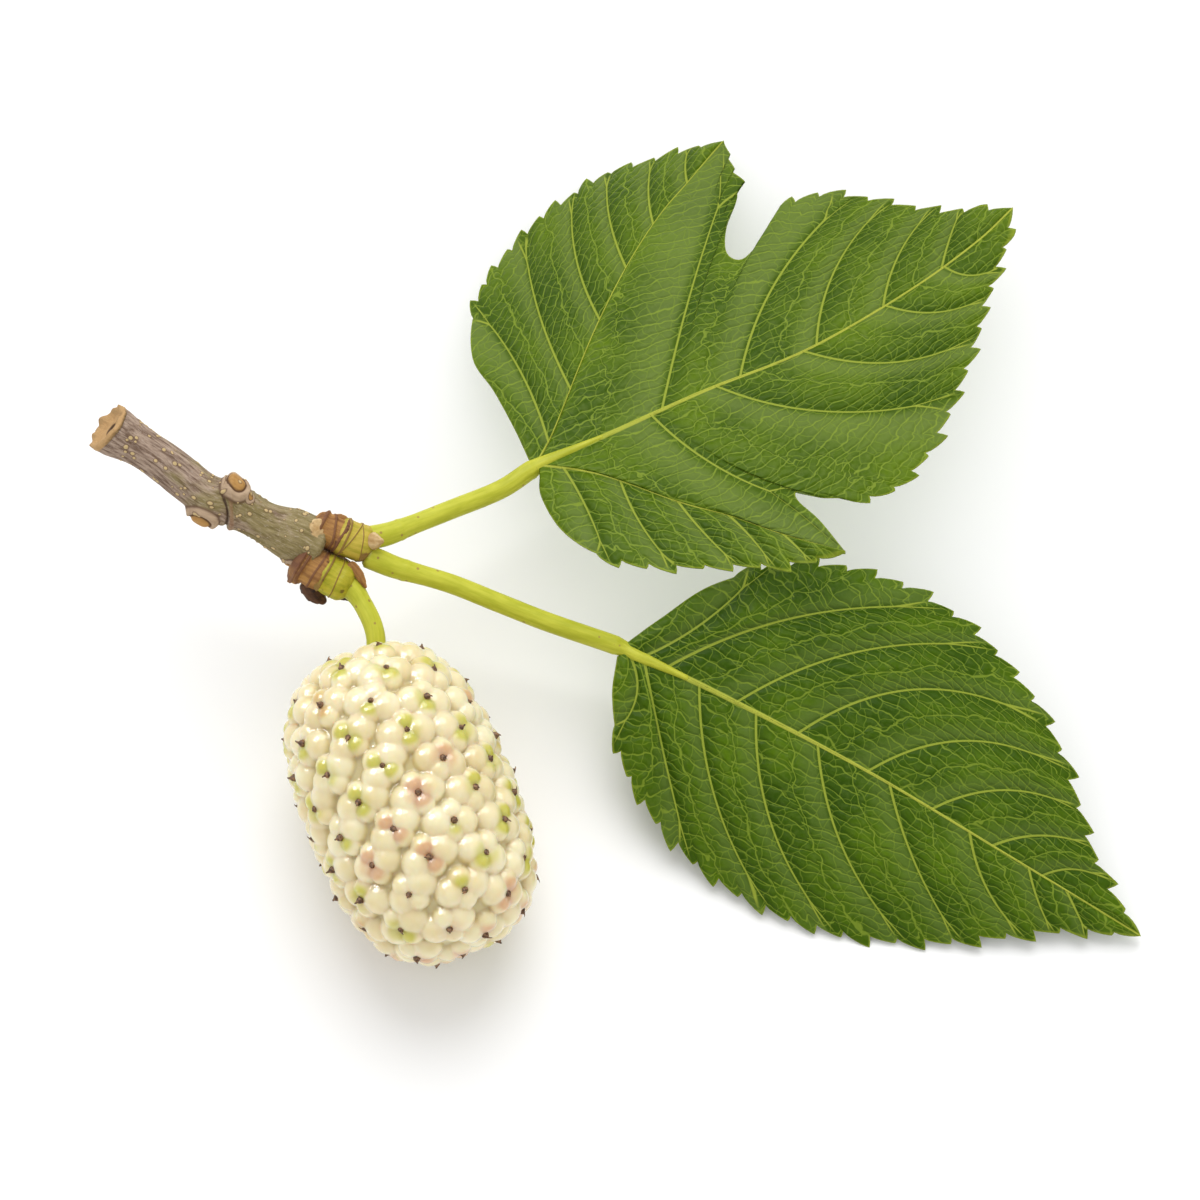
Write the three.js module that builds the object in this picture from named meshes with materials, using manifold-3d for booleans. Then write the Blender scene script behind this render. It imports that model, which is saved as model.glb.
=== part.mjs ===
// A cut sprig of white mulberry as it lies on a surface: a short woody twig, one ripe white fruit on
// its stalk, and two toothed leaves, one plain and one with three lobes. Millimetres, +Z up.

import * as THREE from 'three';
import { ConvexHull } from 'three/addons/math/ConvexHull.js';
import Module from 'manifold-3d';

const wasm = await Module();
wasm.setup();

// The sprig's own frame: these take the middle of its box to the origin.
const BOX_MIDDLE_X = 2.297;
const BOX_MIDDLE_Y = 7.723;

// The gap left between two pieces that touch.
const GAP = 0.3;
const UP = new THREE.Vector3(0, 0, 1);
const TURN = 2 * Math.PI;

// Twig: its middle line from the cut end to the fork, and its radii.
const TWIG_LINE = [
  [-47.3, 11.5, 24.5],
  [-42.8, 9.2, 22.6],
  [-38.5, 6.4, 20.6],
  [-36.0, 5.7, 19.6],
  [-32.3, 4.2, 17.9],
  [-29.4, 3.3, 16.6],
  [-28.0, 2.8, 16.0],
];
const TWIG_RADIUS = 1.95;
const CUT_FLARE = 0.5;
const NODE_SWELL = 0.35;
const NODE_PLACE = 0.57;
const FORK_SWELL = 0.7;
const PITH_SHARE = 0.23;
const PITH_DEPTH = 0.8;
const TORN_RIM = 0.6;

// Scars and knobs on the twig: place along it, angle round it in turns, half length, half width in
// turns and height. A quarter turn is the twig's top.
const TWIG_MARKS = [
  { at: 0.57, turn: 0.4, half: 0.06, width: 0.12, height: 1.1 },
  { at: 0.52, turn: 0.95, half: 0.065, width: 0.13, height: 0.95 },
  { at: 0.63, turn: 0.29, half: 0.03, width: 0.07, height: 0.35 },
  { at: 0.9, turn: 0.91, half: 0.05, width: 0.1, height: 0.45 },
];

// Short shoots at the fork, ringed by the scars of bud scales.
const FRUIT_SPUR_LINE = [[-28.8, 0.9, 15.7], [-28.1, 0.6, 15.6], [-27.4, 0.3, 15.5]];
const FRUIT_SHOOT_LINE = [[-26.8, 0.1, 15.3], [-25.9, -0.3, 15.2], [-25.1, -0.7, 15.1]];
const LEAF_SPUR_LINE = [[-26.6, 4.1, 17.0], [-25.9, 3.8, 16.9], [-25.3, 3.5, 16.8]];
const LEAF_SHOOT_LINE = [[-24.9, 3.4, 16.6], [-24.1, 3.1, 16.4], [-23.3, 2.9, 16.2]];
const FRUIT_SPUR_RADIUS = 2.25;
const FRUIT_SHOOT_RADIUS = 2.05;
const LEAF_SPUR_RADIUS = 1.75;
const LEAF_SHOOT_RADIUS = 2.0;
const RING_HEIGHT = 0.18;

// Buds: middle line and fattest radius.
const BUDS = {
  bud_dark: { line: [[-28.6, -0.6, 14.5], [-28.1, -1.4, 14.0], [-27.3, -2.1, 13.5]], radius: 1.1 },
  bud_pale: { line: [[-27.9, 3.4, 17.6], [-27.6, 3.9, 18.2], [-27.3, 4.3, 18.7]], radius: 1.15 },
  bud_axil: { line: [[-22.3, 2.8, 17.0], [-21.7, 2.6, 17.4], [-21.1, 2.5, 17.7]], radius: 0.75 },
  bud_scale: { line: [[-24.3, 0.5, 16.3], [-23.6, -0.3, 16.0], [-23.1, -1.2, 15.6]], radius: 0.5 },
};

// Leaf stalks and fruit stalk, from the shoot outwards.
const STALK_RADIUS = 0.96;
const STALK_JOINT_SWELL = 0.2;
const STALK_BLADE_SWELL = 0.12;
const UPPER_STALK_LINE = [
  [-22.5, 3.6, 16.1],
  [-21.2, 4.0, 15.8],
  [-19.7, 4.7, 15.4],
  [-14.9, 7.3, 14.0],
  [-10.0, 10.1, 12.4],
];
const LOWER_STALK_LINE = [
  [-22.8, 1.8, 15.6],
  [-21.5, 1.4, 15.1],
  [-19.7, 0.9, 14.5],
  [-14.8, -0.2, 13.3],
  [-9.9, -1.8, 12.0],
  [-5.0, -3.4, 10.8],
];
const FRUIT_STALK_LINE = [
  [-24.9, -0.7, 14.9],
  [-24.1, -1.6, 14.8],
  [-23.2, -3.0, 14.6],
  [-22.4, -4.6, 14.3],
  [-22.0, -6.1, 13.9],
  [-22.0, -7.8, 13.3],
];
const FRUIT_STALK_RADIUS = 0.96;
const FRUIT_STALK_FOOT = 1.2;

// Leaves. A leaf's flat has its foot at 0, 0 and its midrib running along x, with y to the left.
const BLADE_THICKNESS = 0.7;
const BLADE_BULGE = 0.45;
const RIB_SLOPE = 0.28;
const RIB_DEPTH_FOOT = 1.0;
const RIB_DEPTH_TIP = 0.25;
const RIB_HALF_FOOT = 0.9;
const RIB_HALF_TIP = 0.25;
const LOBE_RIB = 0.6;
const VEIN_DEPTH = 0.35;
const TOOTH_HEIGHT = 0.8;
const TOOTH_PEAK = 0.68;
const NOTCH_DEPTH = 0.15;
const TIP_FADE = 14;
const LOBE_PHASE = 0.92;

// Where the points of a row lie between its spine and its end: a rib is never wider than the first
// share, and the teeth start after the last.
const WIDEST_RIB_SHARE = 0.3;
const PLAIN_SHARES = [0.36, 0.7];
const LOBED_SHARES = [0.36, 0.66];
const TOOTH_ROOT_SHARE = 0.86;

// The plain leaf. Each side has its margin, its side veins as [place on the midrib, place on the
// margin, bow], and the stretches of its margin that are smooth or toothed.
const LOWER_LEAF = {
  name: 'leaf_lower',
  foot: [2.2, -5.8],
  heading: -27.2,
  rise: -8.2,
  bank: 16.5,
  length: 58.6,
  arch: 1.2,
  slope: { left: 0.02, right: 0 },
  curl: { left: -0.008, right: -0.008 },
  wave: { height: 0.5, count: 2.5, start: 0.3 },
  midrib: [[0, 0], [10, 0.6], [27, 0.8], [45, 0], [58.6, -0.7]],
  left: {
    margin: [
      [0.2, 0.9], [1.9, 4.4], [5.1, 10.1], [11.5, 15.6], [20, 18.3], [29, 18.1], [37.5, 15],
      [43.5, 10.8], [49, 5.4], [53, 2.1], [58.6, -0.7],
    ],
    veins: [
      [0.036, 0.206, -0.12], [0.08, 0.469, 0.16], [0.213, 0.55, 0.18], [0.328, 0.681, 0.32],
      [0.462, 0.748, 0.3], [0.587, 0.804, 0.26], [0.706, 0.855, 0.2], [0.802, 0.902, 0.25],
    ],
    stretches: [{ to: 0.17, smooth: 6 }, { to: 1, teeth: 21 }],
  },
  right: {
    margin: [
      [-0.1, -0.9], [1.5, -4.9], [5, -9.3], [11, -13.1], [18.5, -15.4], [26.5, -15.5], [34, -13.8],
      [40.5, -10.8], [46.5, -6.9], [52, -3.3], [58.6, -0.7],
    ],
    veins: [
      [0.01, 0.109, -0.38], [0.04, 0.315, 0.02], [0.143, 0.455, 0.16], [0.25, 0.553, 0.2],
      [0.366, 0.657, 0.18], [0.504, 0.733, 0.1], [0.662, 0.824, 0.18], [0.779, 0.868, 0.08],
      [0.851, 0.917, 0],
    ],
    stretches: [{ to: 0.1, smooth: 4 }, { to: 1, teeth: 23 }],
  },
};

// The leaf with three lobes. On each side a second great vein runs to the tip of a side lobe: the
// blade outside that vein is the lobe's outer part, and the blade inside it goes round the notch.
const UPPER_LEAF = {
  name: 'leaf_upper',
  foot: [-6.3, 12.9],
  heading: 31.1,
  rise: -2.5,
  bank: -11,
  length: 57.2,
  arch: 1,
  slope: { left: -0.02, right: 0.06 },
  curl: { left: -0.005, right: -0.001 },
  wave: { height: 0.4, count: 2.5, start: 1.2 },
  midrib: [[0, 0], [7, -1.1], [18, -2.3], [29, -3.9], [41, -3.5], [51, -1.9], [57.2, 0]],
  left: {
    lobeVein: [[0, 0], [3.7, 2.6], [14.3, 11.6], [25.8, 19.9], [31.7, 23], [37.8, 25.5]],
    outer: {
      margin: [
        [-0.4, 0.9], [0.3, 5], [1, 10.5], [1.4, 15.6], [4.5, 21], [9, 24.9], [15, 27.2], [21, 28.6],
        [26.5, 30], [32, 28.3], [37.8, 25.5],
      ],
      veins: [
        [0.058, 0.384, -0.02], [0.204, 0.624, 0.2], [0.402, 0.745, 0.36], [0.558, 0.815, 0.32],
        [0.706, 0.874, 0.2], [0.857, 0.933, 0.14],
      ],
      stretches: [{ to: 0.36, smooth: 7 }, { to: 1, teeth: 15 }],
    },
    margin: [
      [37.8, 25.5], [36, 21.5], [34.8, 17.9], [31.4, 14.6], [29.6, 11.6], [30.3, 9.9], [32.9, 10.7],
      [37.5, 13.2], [42, 12], [46, 8.2], [50.3, 3.6], [57.2, 0],
    ],
    veins: [
      [0.237, 0.094, 0.02], [0.386, 0.667, 0.16], [0.534, 0.741, 0.18], [0.676, 0.832, 0.14],
      [0.809, 0.891, 0.04],
    ],
    stretches: [{ to: 0.13, teeth: 3 }, { to: 0.5, smooth: 11 }, { to: 1, teeth: 10 }],
  },
  right: {
    lobeVein: [[0, 0], [4.5, -4.8], [9.2, -12.1], [12.6, -16.4], [15.6, -20.9], [19.6, -26.5]],
    outer: {
      margin: [
        [-0.2, -0.9], [-1.6, -3.5], [-1.9, -8.5], [0, -13.4], [4.5, -17.8], [10.2, -21.3],
        [15, -24.1], [19.6, -26.5],
      ],
      veins: [
        [0.082, 0.359, -0.06], [0.267, 0.541, 0.1], [0.462, 0.709, 0.06], [0.622, 0.8, -0.06],
        [0.8, 0.9, 0],
      ],
      stretches: [{ to: 0.33, smooth: 5 }, { to: 1, teeth: 9 }],
    },
    margin: [
      [19.6, -26.5], [19.5, -22], [19, -18.8], [19.6, -17.9], [21.5, -20.3], [26.5, -22.9],
      [32.5, -20.9], [38.3, -16.9], [43.5, -12.7], [48, -8.3], [53.5, -3.6], [57.2, 0],
    ],
    veins: [
      [0.216, 0.137, 0.14], [0.341, 0.56, 0.24], [0.508, 0.686, 0.26], [0.681, 0.779, 0.28],
      [0.815, 0.847, 0.4],
    ],
    stretches: [{ to: 0.24, smooth: 8 }, { to: 1, teeth: 16 }],
  },
};

// Fruit: a barrel of swollen fruitlets, each of four globes round a dry style.
const FRUIT_MIDDLE = [-18.5, -22.1, 11];
const FRUIT_AXIS = [0.385, -0.903, -0.19];
const CORE_RADIUS = 9.05;
const CORE_HALF_LENGTH = 14.5;
const CORE_SQUARENESS = 2.8;
const FRUITLETS = 104;
const GLOBE_RADIUS = 1.42;
const GLOBE_OFFSET = 1.22;
const SMALL_GLOBE = 0.88;
const GLOBE_EDGE = 0.5;
const HOLLOW_FLOOR = 0.3;
const STYLE_RADIUS = 0.36;
const STYLE_RISE = 0.6;
const STALK_PIT_RADIUS = 1.4;
const STALK_PIT_CLEAR = 1.8;

const BARK = new THREE.MeshStandardMaterial({ color: 0x8b7a63, roughness: 0.85, metalness: 0 });
const SPUR_BARK = new THREE.MeshStandardMaterial({ color: 0x7a5236, roughness: 0.85, metalness: 0 });
const GREEN_BARK = new THREE.MeshStandardMaterial({ color: 0x8f8f45, roughness: 0.65, metalness: 0 });
const DARK_BUD = new THREE.MeshStandardMaterial({ color: 0x4a2c1c, roughness: 0.8, metalness: 0 });
const PALE_BUD = new THREE.MeshStandardMaterial({ color: 0xb08a58, roughness: 0.75, metalness: 0 });
const STALK_GREEN = new THREE.MeshStandardMaterial({ color: 0xa9bd45, roughness: 0.5, metalness: 0 });
const LEAF_GREEN = new THREE.MeshStandardMaterial({ color: 0x3f7a20, roughness: 0.5, metalness: 0 });
const FRUIT_WHITE = new THREE.MeshStandardMaterial({ color: 0xe9e3cf, roughness: 0.3, metalness: 0 });

// A smooth curve through points of two or three numbers.
function curve(points) {
  const places = points.map(([x, y, z = 0]) => new THREE.Vector3(x, y, z));
  return new THREE.CatmullRomCurve3(places, false, 'catmullrom', 0.5);
}

// The value at x on a line that joins the knots, which rise in x.
function interpolate(knots, values, x) {
  const last = knots.length - 1;
  if (x >= knots[last]) return values[last];
  const next = Math.max(1, knots.findIndex((knot) => knot > x));
  const share = (x - knots[next - 1]) / (knots[next] - knots[next - 1]);
  return THREE.MathUtils.lerp(values[next - 1], values[next], share);
}

// A steady random number from 0 to 1 for each whole number.
function chance(number, seed) {
  const wave = Math.sin(number * 12.9898 + seed * 78.233) * 43758.5453;
  return wave - Math.floor(wave);
}

function makeMesh(name, geometry, material) {
  const mesh = new THREE.Mesh(geometry, material.clone());
  mesh.name = name;
  return mesh;
}

function makeGeometry(positions, faces) {
  const geometry = new THREE.BufferGeometry();
  geometry.setAttribute('position', new THREE.Float32BufferAttribute(positions.flat(), 3));
  geometry.setIndex(faces.flat());
  geometry.computeVertexNormals();
  return geometry;
}

// A stem is rings of points square to a path, closed at both ends. Angles start at the stem's side,
// and a quarter turn is its top. A cap is a list of [share of the end ring's size, how far it stands
// out past the end]; its last entry is the point in the middle.
function makeStem(line, { rings, sides, radiusAt, startCap = [[0, 0]], endCap = [[0, 0]] }) {
  const path = curve(line);
  const ringPoints = (at, size, outwards) => {
    const along = path.getTangentAt(at);
    const side = new THREE.Vector3().crossVectors(along, UP).normalize();
    const top = new THREE.Vector3().crossVectors(side, along);
    const middle = path.getPointAt(at).addScaledVector(along, outwards);
    return Array.from({ length: sides }, (_, j) => {
      const angle = (j / sides) * TURN;
      const radius = radiusAt(at, angle) * size;
      const point = middle.clone().addScaledVector(side, Math.cos(angle) * radius);
      return point.addScaledVector(top, Math.sin(angle) * radius).toArray();
    });
  };
  const loops = [
    ...startCap.slice(0, -1).reverse().map(([size, out]) => ringPoints(0, size, -out)),
    ...Array.from({ length: rings + 1 }, (_, i) => ringPoints(i / rings, 1, 0)),
    ...endCap.slice(0, -1).map(([size, out]) => ringPoints(1, size, out)),
  ];
  const positions = loops.flat();
  const first = path.getPointAt(0).addScaledVector(path.getTangentAt(0), -startCap.at(-1)[1]);
  const last = path.getPointAt(1).addScaledVector(path.getTangentAt(1), endCap.at(-1)[1]);
  positions.push(first.toArray(), last.toArray());
  const start = positions.length - 2;
  const end = positions.length - 1;
  const lastLoop = (loops.length - 1) * sides;
  const faces = [];
  for (let j = 0; j < sides; j += 1) {
    const next = (j + 1) % sides;
    faces.push([start, j, next], [end, lastLoop + next, lastLoop + j]);
    for (let i = 0; i < loops.length - 1; i += 1) {
      const here = i * sides;
      const there = here + sides;
      faces.push([here + j, there + j, there + next], [here + j, there + next, here + next]);
    }
  }
  return makeGeometry(positions, faces);
}

function toSolid(geometry) {
  const { Manifold, Mesh } = wasm;
  const vertProperties = new Float32Array(geometry.getAttribute('position').array);
  const triVerts = new Uint32Array(geometry.index.array);
  return new Manifold(new Mesh({ numProp: 3, vertProperties, triVerts }));
}

function toGeometry(solid) {
  const { vertProperties, triVerts } = solid.getMesh();
  const geometry = new THREE.BufferGeometry();
  geometry.setAttribute('position', new THREE.BufferAttribute(new Float32Array(vertProperties), 3));
  geometry.setIndex(Array.from(triVerts));
  geometry.computeVertexNormals();
  return geometry;
}

// Cuts a seat in a piece for each of its neighbours, given as solids that are a gap too large.
function seat(geometry, ...largerNeighbours) {
  const cut = (left, neighbour) => left.subtract(toSolid(neighbour));
  const solid = largerNeighbours.reduce(cut, toSolid(geometry));
  const pieces = solid.decompose().sort((a, b) => b.volume() - a.volume());
  return toGeometry(pieces[0]);
}

// Twig

// How far a scar or knob lifts the bark: a flat-topped mound, 1 inside and 0 outside.
function markLift(at, angle, mark) {
  const lengthwise = (at - mark.at) / mark.half;
  const turns = angle / TURN - mark.turn;
  const around = (turns - Math.round(turns)) / mark.width;
  const distance = Math.hypot(lengthwise, around);
  return mark.height * (1 - THREE.MathUtils.smoothstep(distance, 0.5, 1.1));
}

function twigRadius(at, angle) {
  const flare = CUT_FLARE * Math.exp(-((at / 0.08) ** 2));
  const swell = NODE_SWELL * Math.exp(-(((at - NODE_PLACE) / 0.09) ** 2));
  const fork = FORK_SWELL * THREE.MathUtils.smoothstep(at, 0.72, 0.92);
  const marks = TWIG_MARKS.reduce((sum, mark) => sum + markLift(at, angle, mark), 0);
  return TWIG_RADIUS + flare + swell + fork + marks;
}

function makeTwig() {
  return makeStem(TWIG_LINE, {
    rings: 30,
    sides: 16,
    radiusAt: twigRadius,
    startCap: [[0.97, 0.25], [0.8, TORN_RIM], [0.55, 0.1], [PITH_SHARE, 0], [0, -PITH_DEPTH]],
    endCap: [[0.75, 0.5], [0, 0.75]],
  });
}

// Short shoots: a step in radius at each scale scar.
function ridge(at, count) {
  const place = at * count;
  return 1 - Math.abs(2 * (place - Math.floor(place)) - 1);
}

function makeSpur(line, radius, scars, swollenBy = 0) {
  return makeStem(line, {
    rings: scars * 2,
    sides: 12,
    radiusAt: (at) => radius + RING_HEIGHT * ridge(at, scars) + swollenBy,
    startCap: [[0.8, 0.3 + swollenBy], [0, 0.5 + swollenBy]],
    endCap: [[0.85, 0.15 + swollenBy], [0, 0.2 + swollenBy]],
  });
}

function makeBud({ line, radius }, swollenBy = 0) {
  return makeStem(line, {
    rings: 6,
    sides: 10,
    radiusAt: (at) => radius * (1 - 0.75 * at ** 2.2) + swollenBy,
    startCap: [[0.75, 0.35 + swollenBy], [0, 0.5 + swollenBy]],
    endCap: [[0, 0.25 + swollenBy]],
  });
}

function makeStalk(line, swollenBy = 0) {
  return makeStem(line, {
    rings: 18,
    sides: 12,
    radiusAt: (at) => {
      const joint = STALK_JOINT_SWELL * (1 - THREE.MathUtils.smoothstep(at, 0.02, 0.12));
      const blade = STALK_BLADE_SWELL * THREE.MathUtils.smoothstep(at, 0.85, 1);
      return STALK_RADIUS + joint + blade + swollenBy;
    },
    startCap: [[0.75, 0.3 + swollenBy], [0, 0.45 + swollenBy]],
  });
}

function makeFruitStalk(swollenBy = 0) {
  return makeStem(FRUIT_STALK_LINE, {
    rings: 16,
    sides: 12,
    radiusAt: (at) => {
      const foot = 1 - THREE.MathUtils.smoothstep(at, 0.05, 0.32);
      return THREE.MathUtils.lerp(FRUIT_STALK_RADIUS, FRUIT_STALK_FOOT, foot) + swollenBy;
    },
    startCap: [[0.8, 0.2 + swollenBy], [0, 0.3 + swollenBy]],
  });
}

// Leaves

// A sheet of points in the leaf's flat, each with its lift and the depth of the rib under it.
class Sheet {
  constructor() {
    this.points = [];
    this.faces = [];
    this.known = new Map();
  }

  add(place, lift, rib) {
    const key = `${Math.round(place.x * 400)} ${Math.round(place.y * 400)}`;
    if (!this.known.has(key)) {
      this.known.set(key, this.points.length);
      this.points.push({ x: place.x, y: place.y, lift, rib });
    }
    return this.known.get(key);
  }

  face(a, b, c) {
    if (a !== b && b !== c && c !== a) this.faces.push([a, b, c]);
  }

  // Rows of points that run outwards; the rows follow each other towards the leaf's tip.
  grid(rows, leftOfVein) {
    for (let i = 0; i < rows.length - 1; i += 1) {
      for (let j = 0; j < rows[i].length - 1; j += 1) {
        const [a, b, c, d] = [rows[i][j], rows[i + 1][j], rows[i + 1][j + 1], rows[i][j + 1]];
        if (leftOfVein) {
          this.face(a, b, c);
          this.face(a, c, d);
        } else {
          this.face(a, c, b);
          this.face(a, d, c);
        }
      }
    }
  }

  // Joins two lines of points that run side by side, the right one below the left one in y.
  zip(right, left) {
    let i = 0;
    let j = 0;
    while (i < right.length - 1 || j < left.length - 1) {
      const rightNext = i < right.length - 1 ? this.points[right[i + 1]].x : Infinity;
      const leftNext = j < left.length - 1 ? this.points[left[j + 1]].x : Infinity;
      if (rightNext <= leftNext) {
        this.face(right[i], right[i + 1], left[j]);
        i += 1;
      } else {
        this.face(left[j + 1], left[j], right[i]);
        j += 1;
      }
    }
  }

  // The edges that only one face has, in the direction that face runs.
  border() {
    const edges = new Set(this.faces.flatMap(([a, b, c]) => [`${a} ${b}`, `${b} ${c}`, `${c} ${a}`]));
    const alone = [...edges].filter((edge) => !edges.has(edge.split(' ').reverse().join(' ')));
    return alone.map((edge) => edge.split(' ').map(Number));
  }
}

// How high the middle of the blade lies over the leaf's flat.
function camber(leaf, x, y) {
  const side = y > 0 ? 'left' : 'right';
  const reach = Math.abs(y);
  const along = x / leaf.length;
  const arch = leaf.arch * 4 * along * (1 - along);
  const { height, count, start } = leaf.wave;
  const turn = TURN * count * along + start + (y > 0 ? 1.7 : 0);
  const wave = height * Math.sin(turn) * (reach / 20) ** 2;
  return arch + leaf.slope[side] * reach + leaf.curl[side] * reach ** 2 + wave;
}

// The rows that end at a margin: one at each notch and each tooth, or evenly on a smooth stretch.
// Teeth die away towards the two ends of the margin.
function marginRows(stretches, seed) {
  const rows = [{ at: 0, tooth: 0 }];
  let from = 0;
  for (const { to, smooth = 0, teeth = 0 } of stretches) {
    const pitch = (to - from) / (smooth + teeth);
    for (let k = 0; k < smooth + teeth; k += 1) {
      const major = k % 2 ? 0.55 : 1;
      const height = TOOTH_HEIGHT * major * (0.8 + 0.4 * chance(k, seed));
      const peak = from + (k + TOOTH_PEAK) * pitch;
      const notch = from + (k + 1) * pitch;
      const fade = Math.min(1, TIP_FADE * peak, TIP_FADE * (1 - peak));
      if (teeth) rows.push({ at: peak, tooth: (height - NOTCH_DEPTH) * fade });
      rows.push({ at: notch, tooth: teeth && notch < 1 ? -NOTCH_DEPTH * fade : 0 });
    }
    from = to;
  }
  return rows;
}

// Gives each row of a part of the blade its phase, which is a whole number on each side vein, and
// with it its start on the spine and its bow. The row nearest a vein becomes that vein's own.
function placeRows(rows, veins, firstPhase) {
  const phases = [firstPhase, ...veins.map((_, k) => k + 1), veins.length + 1];
  const ends = [0, ...veins.map(([, end]) => end), 1];
  for (const row of rows) row.phase = interpolate(ends, phases, row.at);
  veins.forEach(([, end], k) => {
    const distance = (row) => Math.abs(row.at - end);
    const nearest = rows.reduce((best, row) => (distance(row) < distance(best) ? row : best));
    nearest.phase = k + 1;
    nearest.vein = true;
  });
  return rows;
}

function rowShape(veins, phase) {
  const phases = [0, ...veins.map((_, k) => k + 1), veins.length + 1];
  const starts = [0, ...veins.map(([start]) => start), 1];
  const bows = [veins[0][2], ...veins.map(([, , bow]) => bow), veins.at(-1)[2]];
  return { start: interpolate(phases, starts, phase), bow: interpolate(phases, bows, phase) };
}

// A point on a row, which is a parabola from the spine to the margin that bows towards the foot.
function rowPoint(start, end, bow, share) {
  const across = new THREE.Vector3().subVectors(end, start);
  const bend = new THREE.Vector3().addVectors(start, end).multiplyScalar(0.5);
  bend.add(new THREE.Vector3(-across.y, across.x, 0).multiplyScalar(bow));
  return new THREE.QuadraticBezierCurve3(start, bend, end).getPoint(share);
}

function ribHalf(along) {
  return THREE.MathUtils.lerp(RIB_HALF_FOOT, RIB_HALF_TIP, along);
}

function ribLift(along) {
  return RIB_SLOPE * ribHalf(along);
}

function ribDepth(along) {
  return THREE.MathUtils.lerp(RIB_DEPTH_FOOT, RIB_DEPTH_TIP, along);
}

// Where the margin is at a row, with its tooth pushed out square to the margin.
function marginPoint(margin, row, leftOfVein) {
  const point = margin.getPointAt(row.at);
  const along = margin.getTangentAt(row.at);
  const sign = leftOfVein ? 1 : -1;
  const outwards = new THREE.Vector3(-along.y * sign, along.x * sign, 0);
  return point.addScaledVector(outwards, row.tooth).addScaledVector(along, row.tooth * 0.4);
}

// Adds one part of the blade, between its spine and its margin. Rows that end on a lobe's great vein
// come first, and share that vein's points with the lobe's outer part.
function addPart(sheet, part) {
  const { spine, margin, veins, rows, lobeRows = [], lobeVein, leftOfVein, spineRib, withCrest } = part;
  const sign = leftOfVein ? 1 : -1;
  const lobe = lobeRows.map((at) => ({ at, phase: at * LOBE_PHASE, lobe: true }));
  const all = lobeVein ? [...lobe, ...rows.slice(1)] : rows;
  return all.map((row) => {
    const { start, bow } = rowShape(veins, row.phase);
    const from = spine.getPointAt(start);
    const to = row.lobe ? lobeVein.getPointAt(row.at) : marginPoint(margin, row, leftOfVein);
    const reach = Math.max(from.distanceTo(to), 1e-6);
    const ribShare = (half) => Math.min(half / reach, WIDEST_RIB_SHARE);
    const foot = ribShare(ribHalf(start) * spineRib);
    const outer = row.lobe ? 1 - ribShare(ribHalf(row.at) * LOBE_RIB) : TOOTH_ROOT_SHARE;
    const inner = lobeVein ? [foot, ...LOBED_SHARES, outer] : [foot, ...PLAIN_SHARES];
    const shares = [...(withCrest ? [0] : []), ...inner, 1];
    return shares.map((share) => {
      const place = rowPoint(from, to, bow * sign, share);
      const bulge = BLADE_BULGE * Math.abs(Math.sin(Math.PI * row.phase)) * Math.sin(Math.PI * share);
      if (share === 0) return sheet.add(place, ribLift(start) * spineRib, ribDepth(start) * spineRib);
      if (share === 1 && row.lobe) {
        return sheet.add(place, ribLift(row.at) * LOBE_RIB, ribDepth(row.at) * LOBE_RIB);
      }
      const vein = row.vein && share < 1 ? VEIN_DEPTH * (1 - 0.6 * share) : 0;
      return sheet.add(place, bulge, vein);
    });
  });
}

// Both parts of the blade on one side of the midrib; gives back the rows next to the midrib.
function addSide(sheet, leaf, side, midrib) {
  const leftOfVein = side === 'left';
  const shape = leaf[side];
  const seed = leftOfVein ? 1 : 2;
  const margin = curve(shape.margin);
  const lobeVein = shape.lobeVein && curve(shape.lobeVein);
  let lobeRows = [];
  if (lobeVein) {
    const { outer } = shape;
    const rows = placeRows(marginRows(outer.stretches, seed + 2), outer.veins, 0);
    lobeRows = rows.map((row) => rowShape(outer.veins, row.phase).start);
    const outerPart = { spine: lobeVein, margin: curve(outer.margin), veins: outer.veins, rows };
    const outerGrid = addPart(sheet, { ...outerPart, leftOfVein, spineRib: LOBE_RIB, withCrest: true });
    sheet.grid(outerGrid, leftOfVein);
  }
  const rows = placeRows(marginRows(shape.stretches, seed), shape.veins, lobeVein ? LOBE_PHASE : 0);
  const part = { spine: midrib, margin, veins: shape.veins, rows, lobeRows, lobeVein };
  const grid = addPart(sheet, { ...part, leftOfVein, spineRib: 1, withCrest: leftOfVein });
  sheet.grid(grid, leftOfVein);
  return grid.map((row) => row[0]);
}

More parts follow.
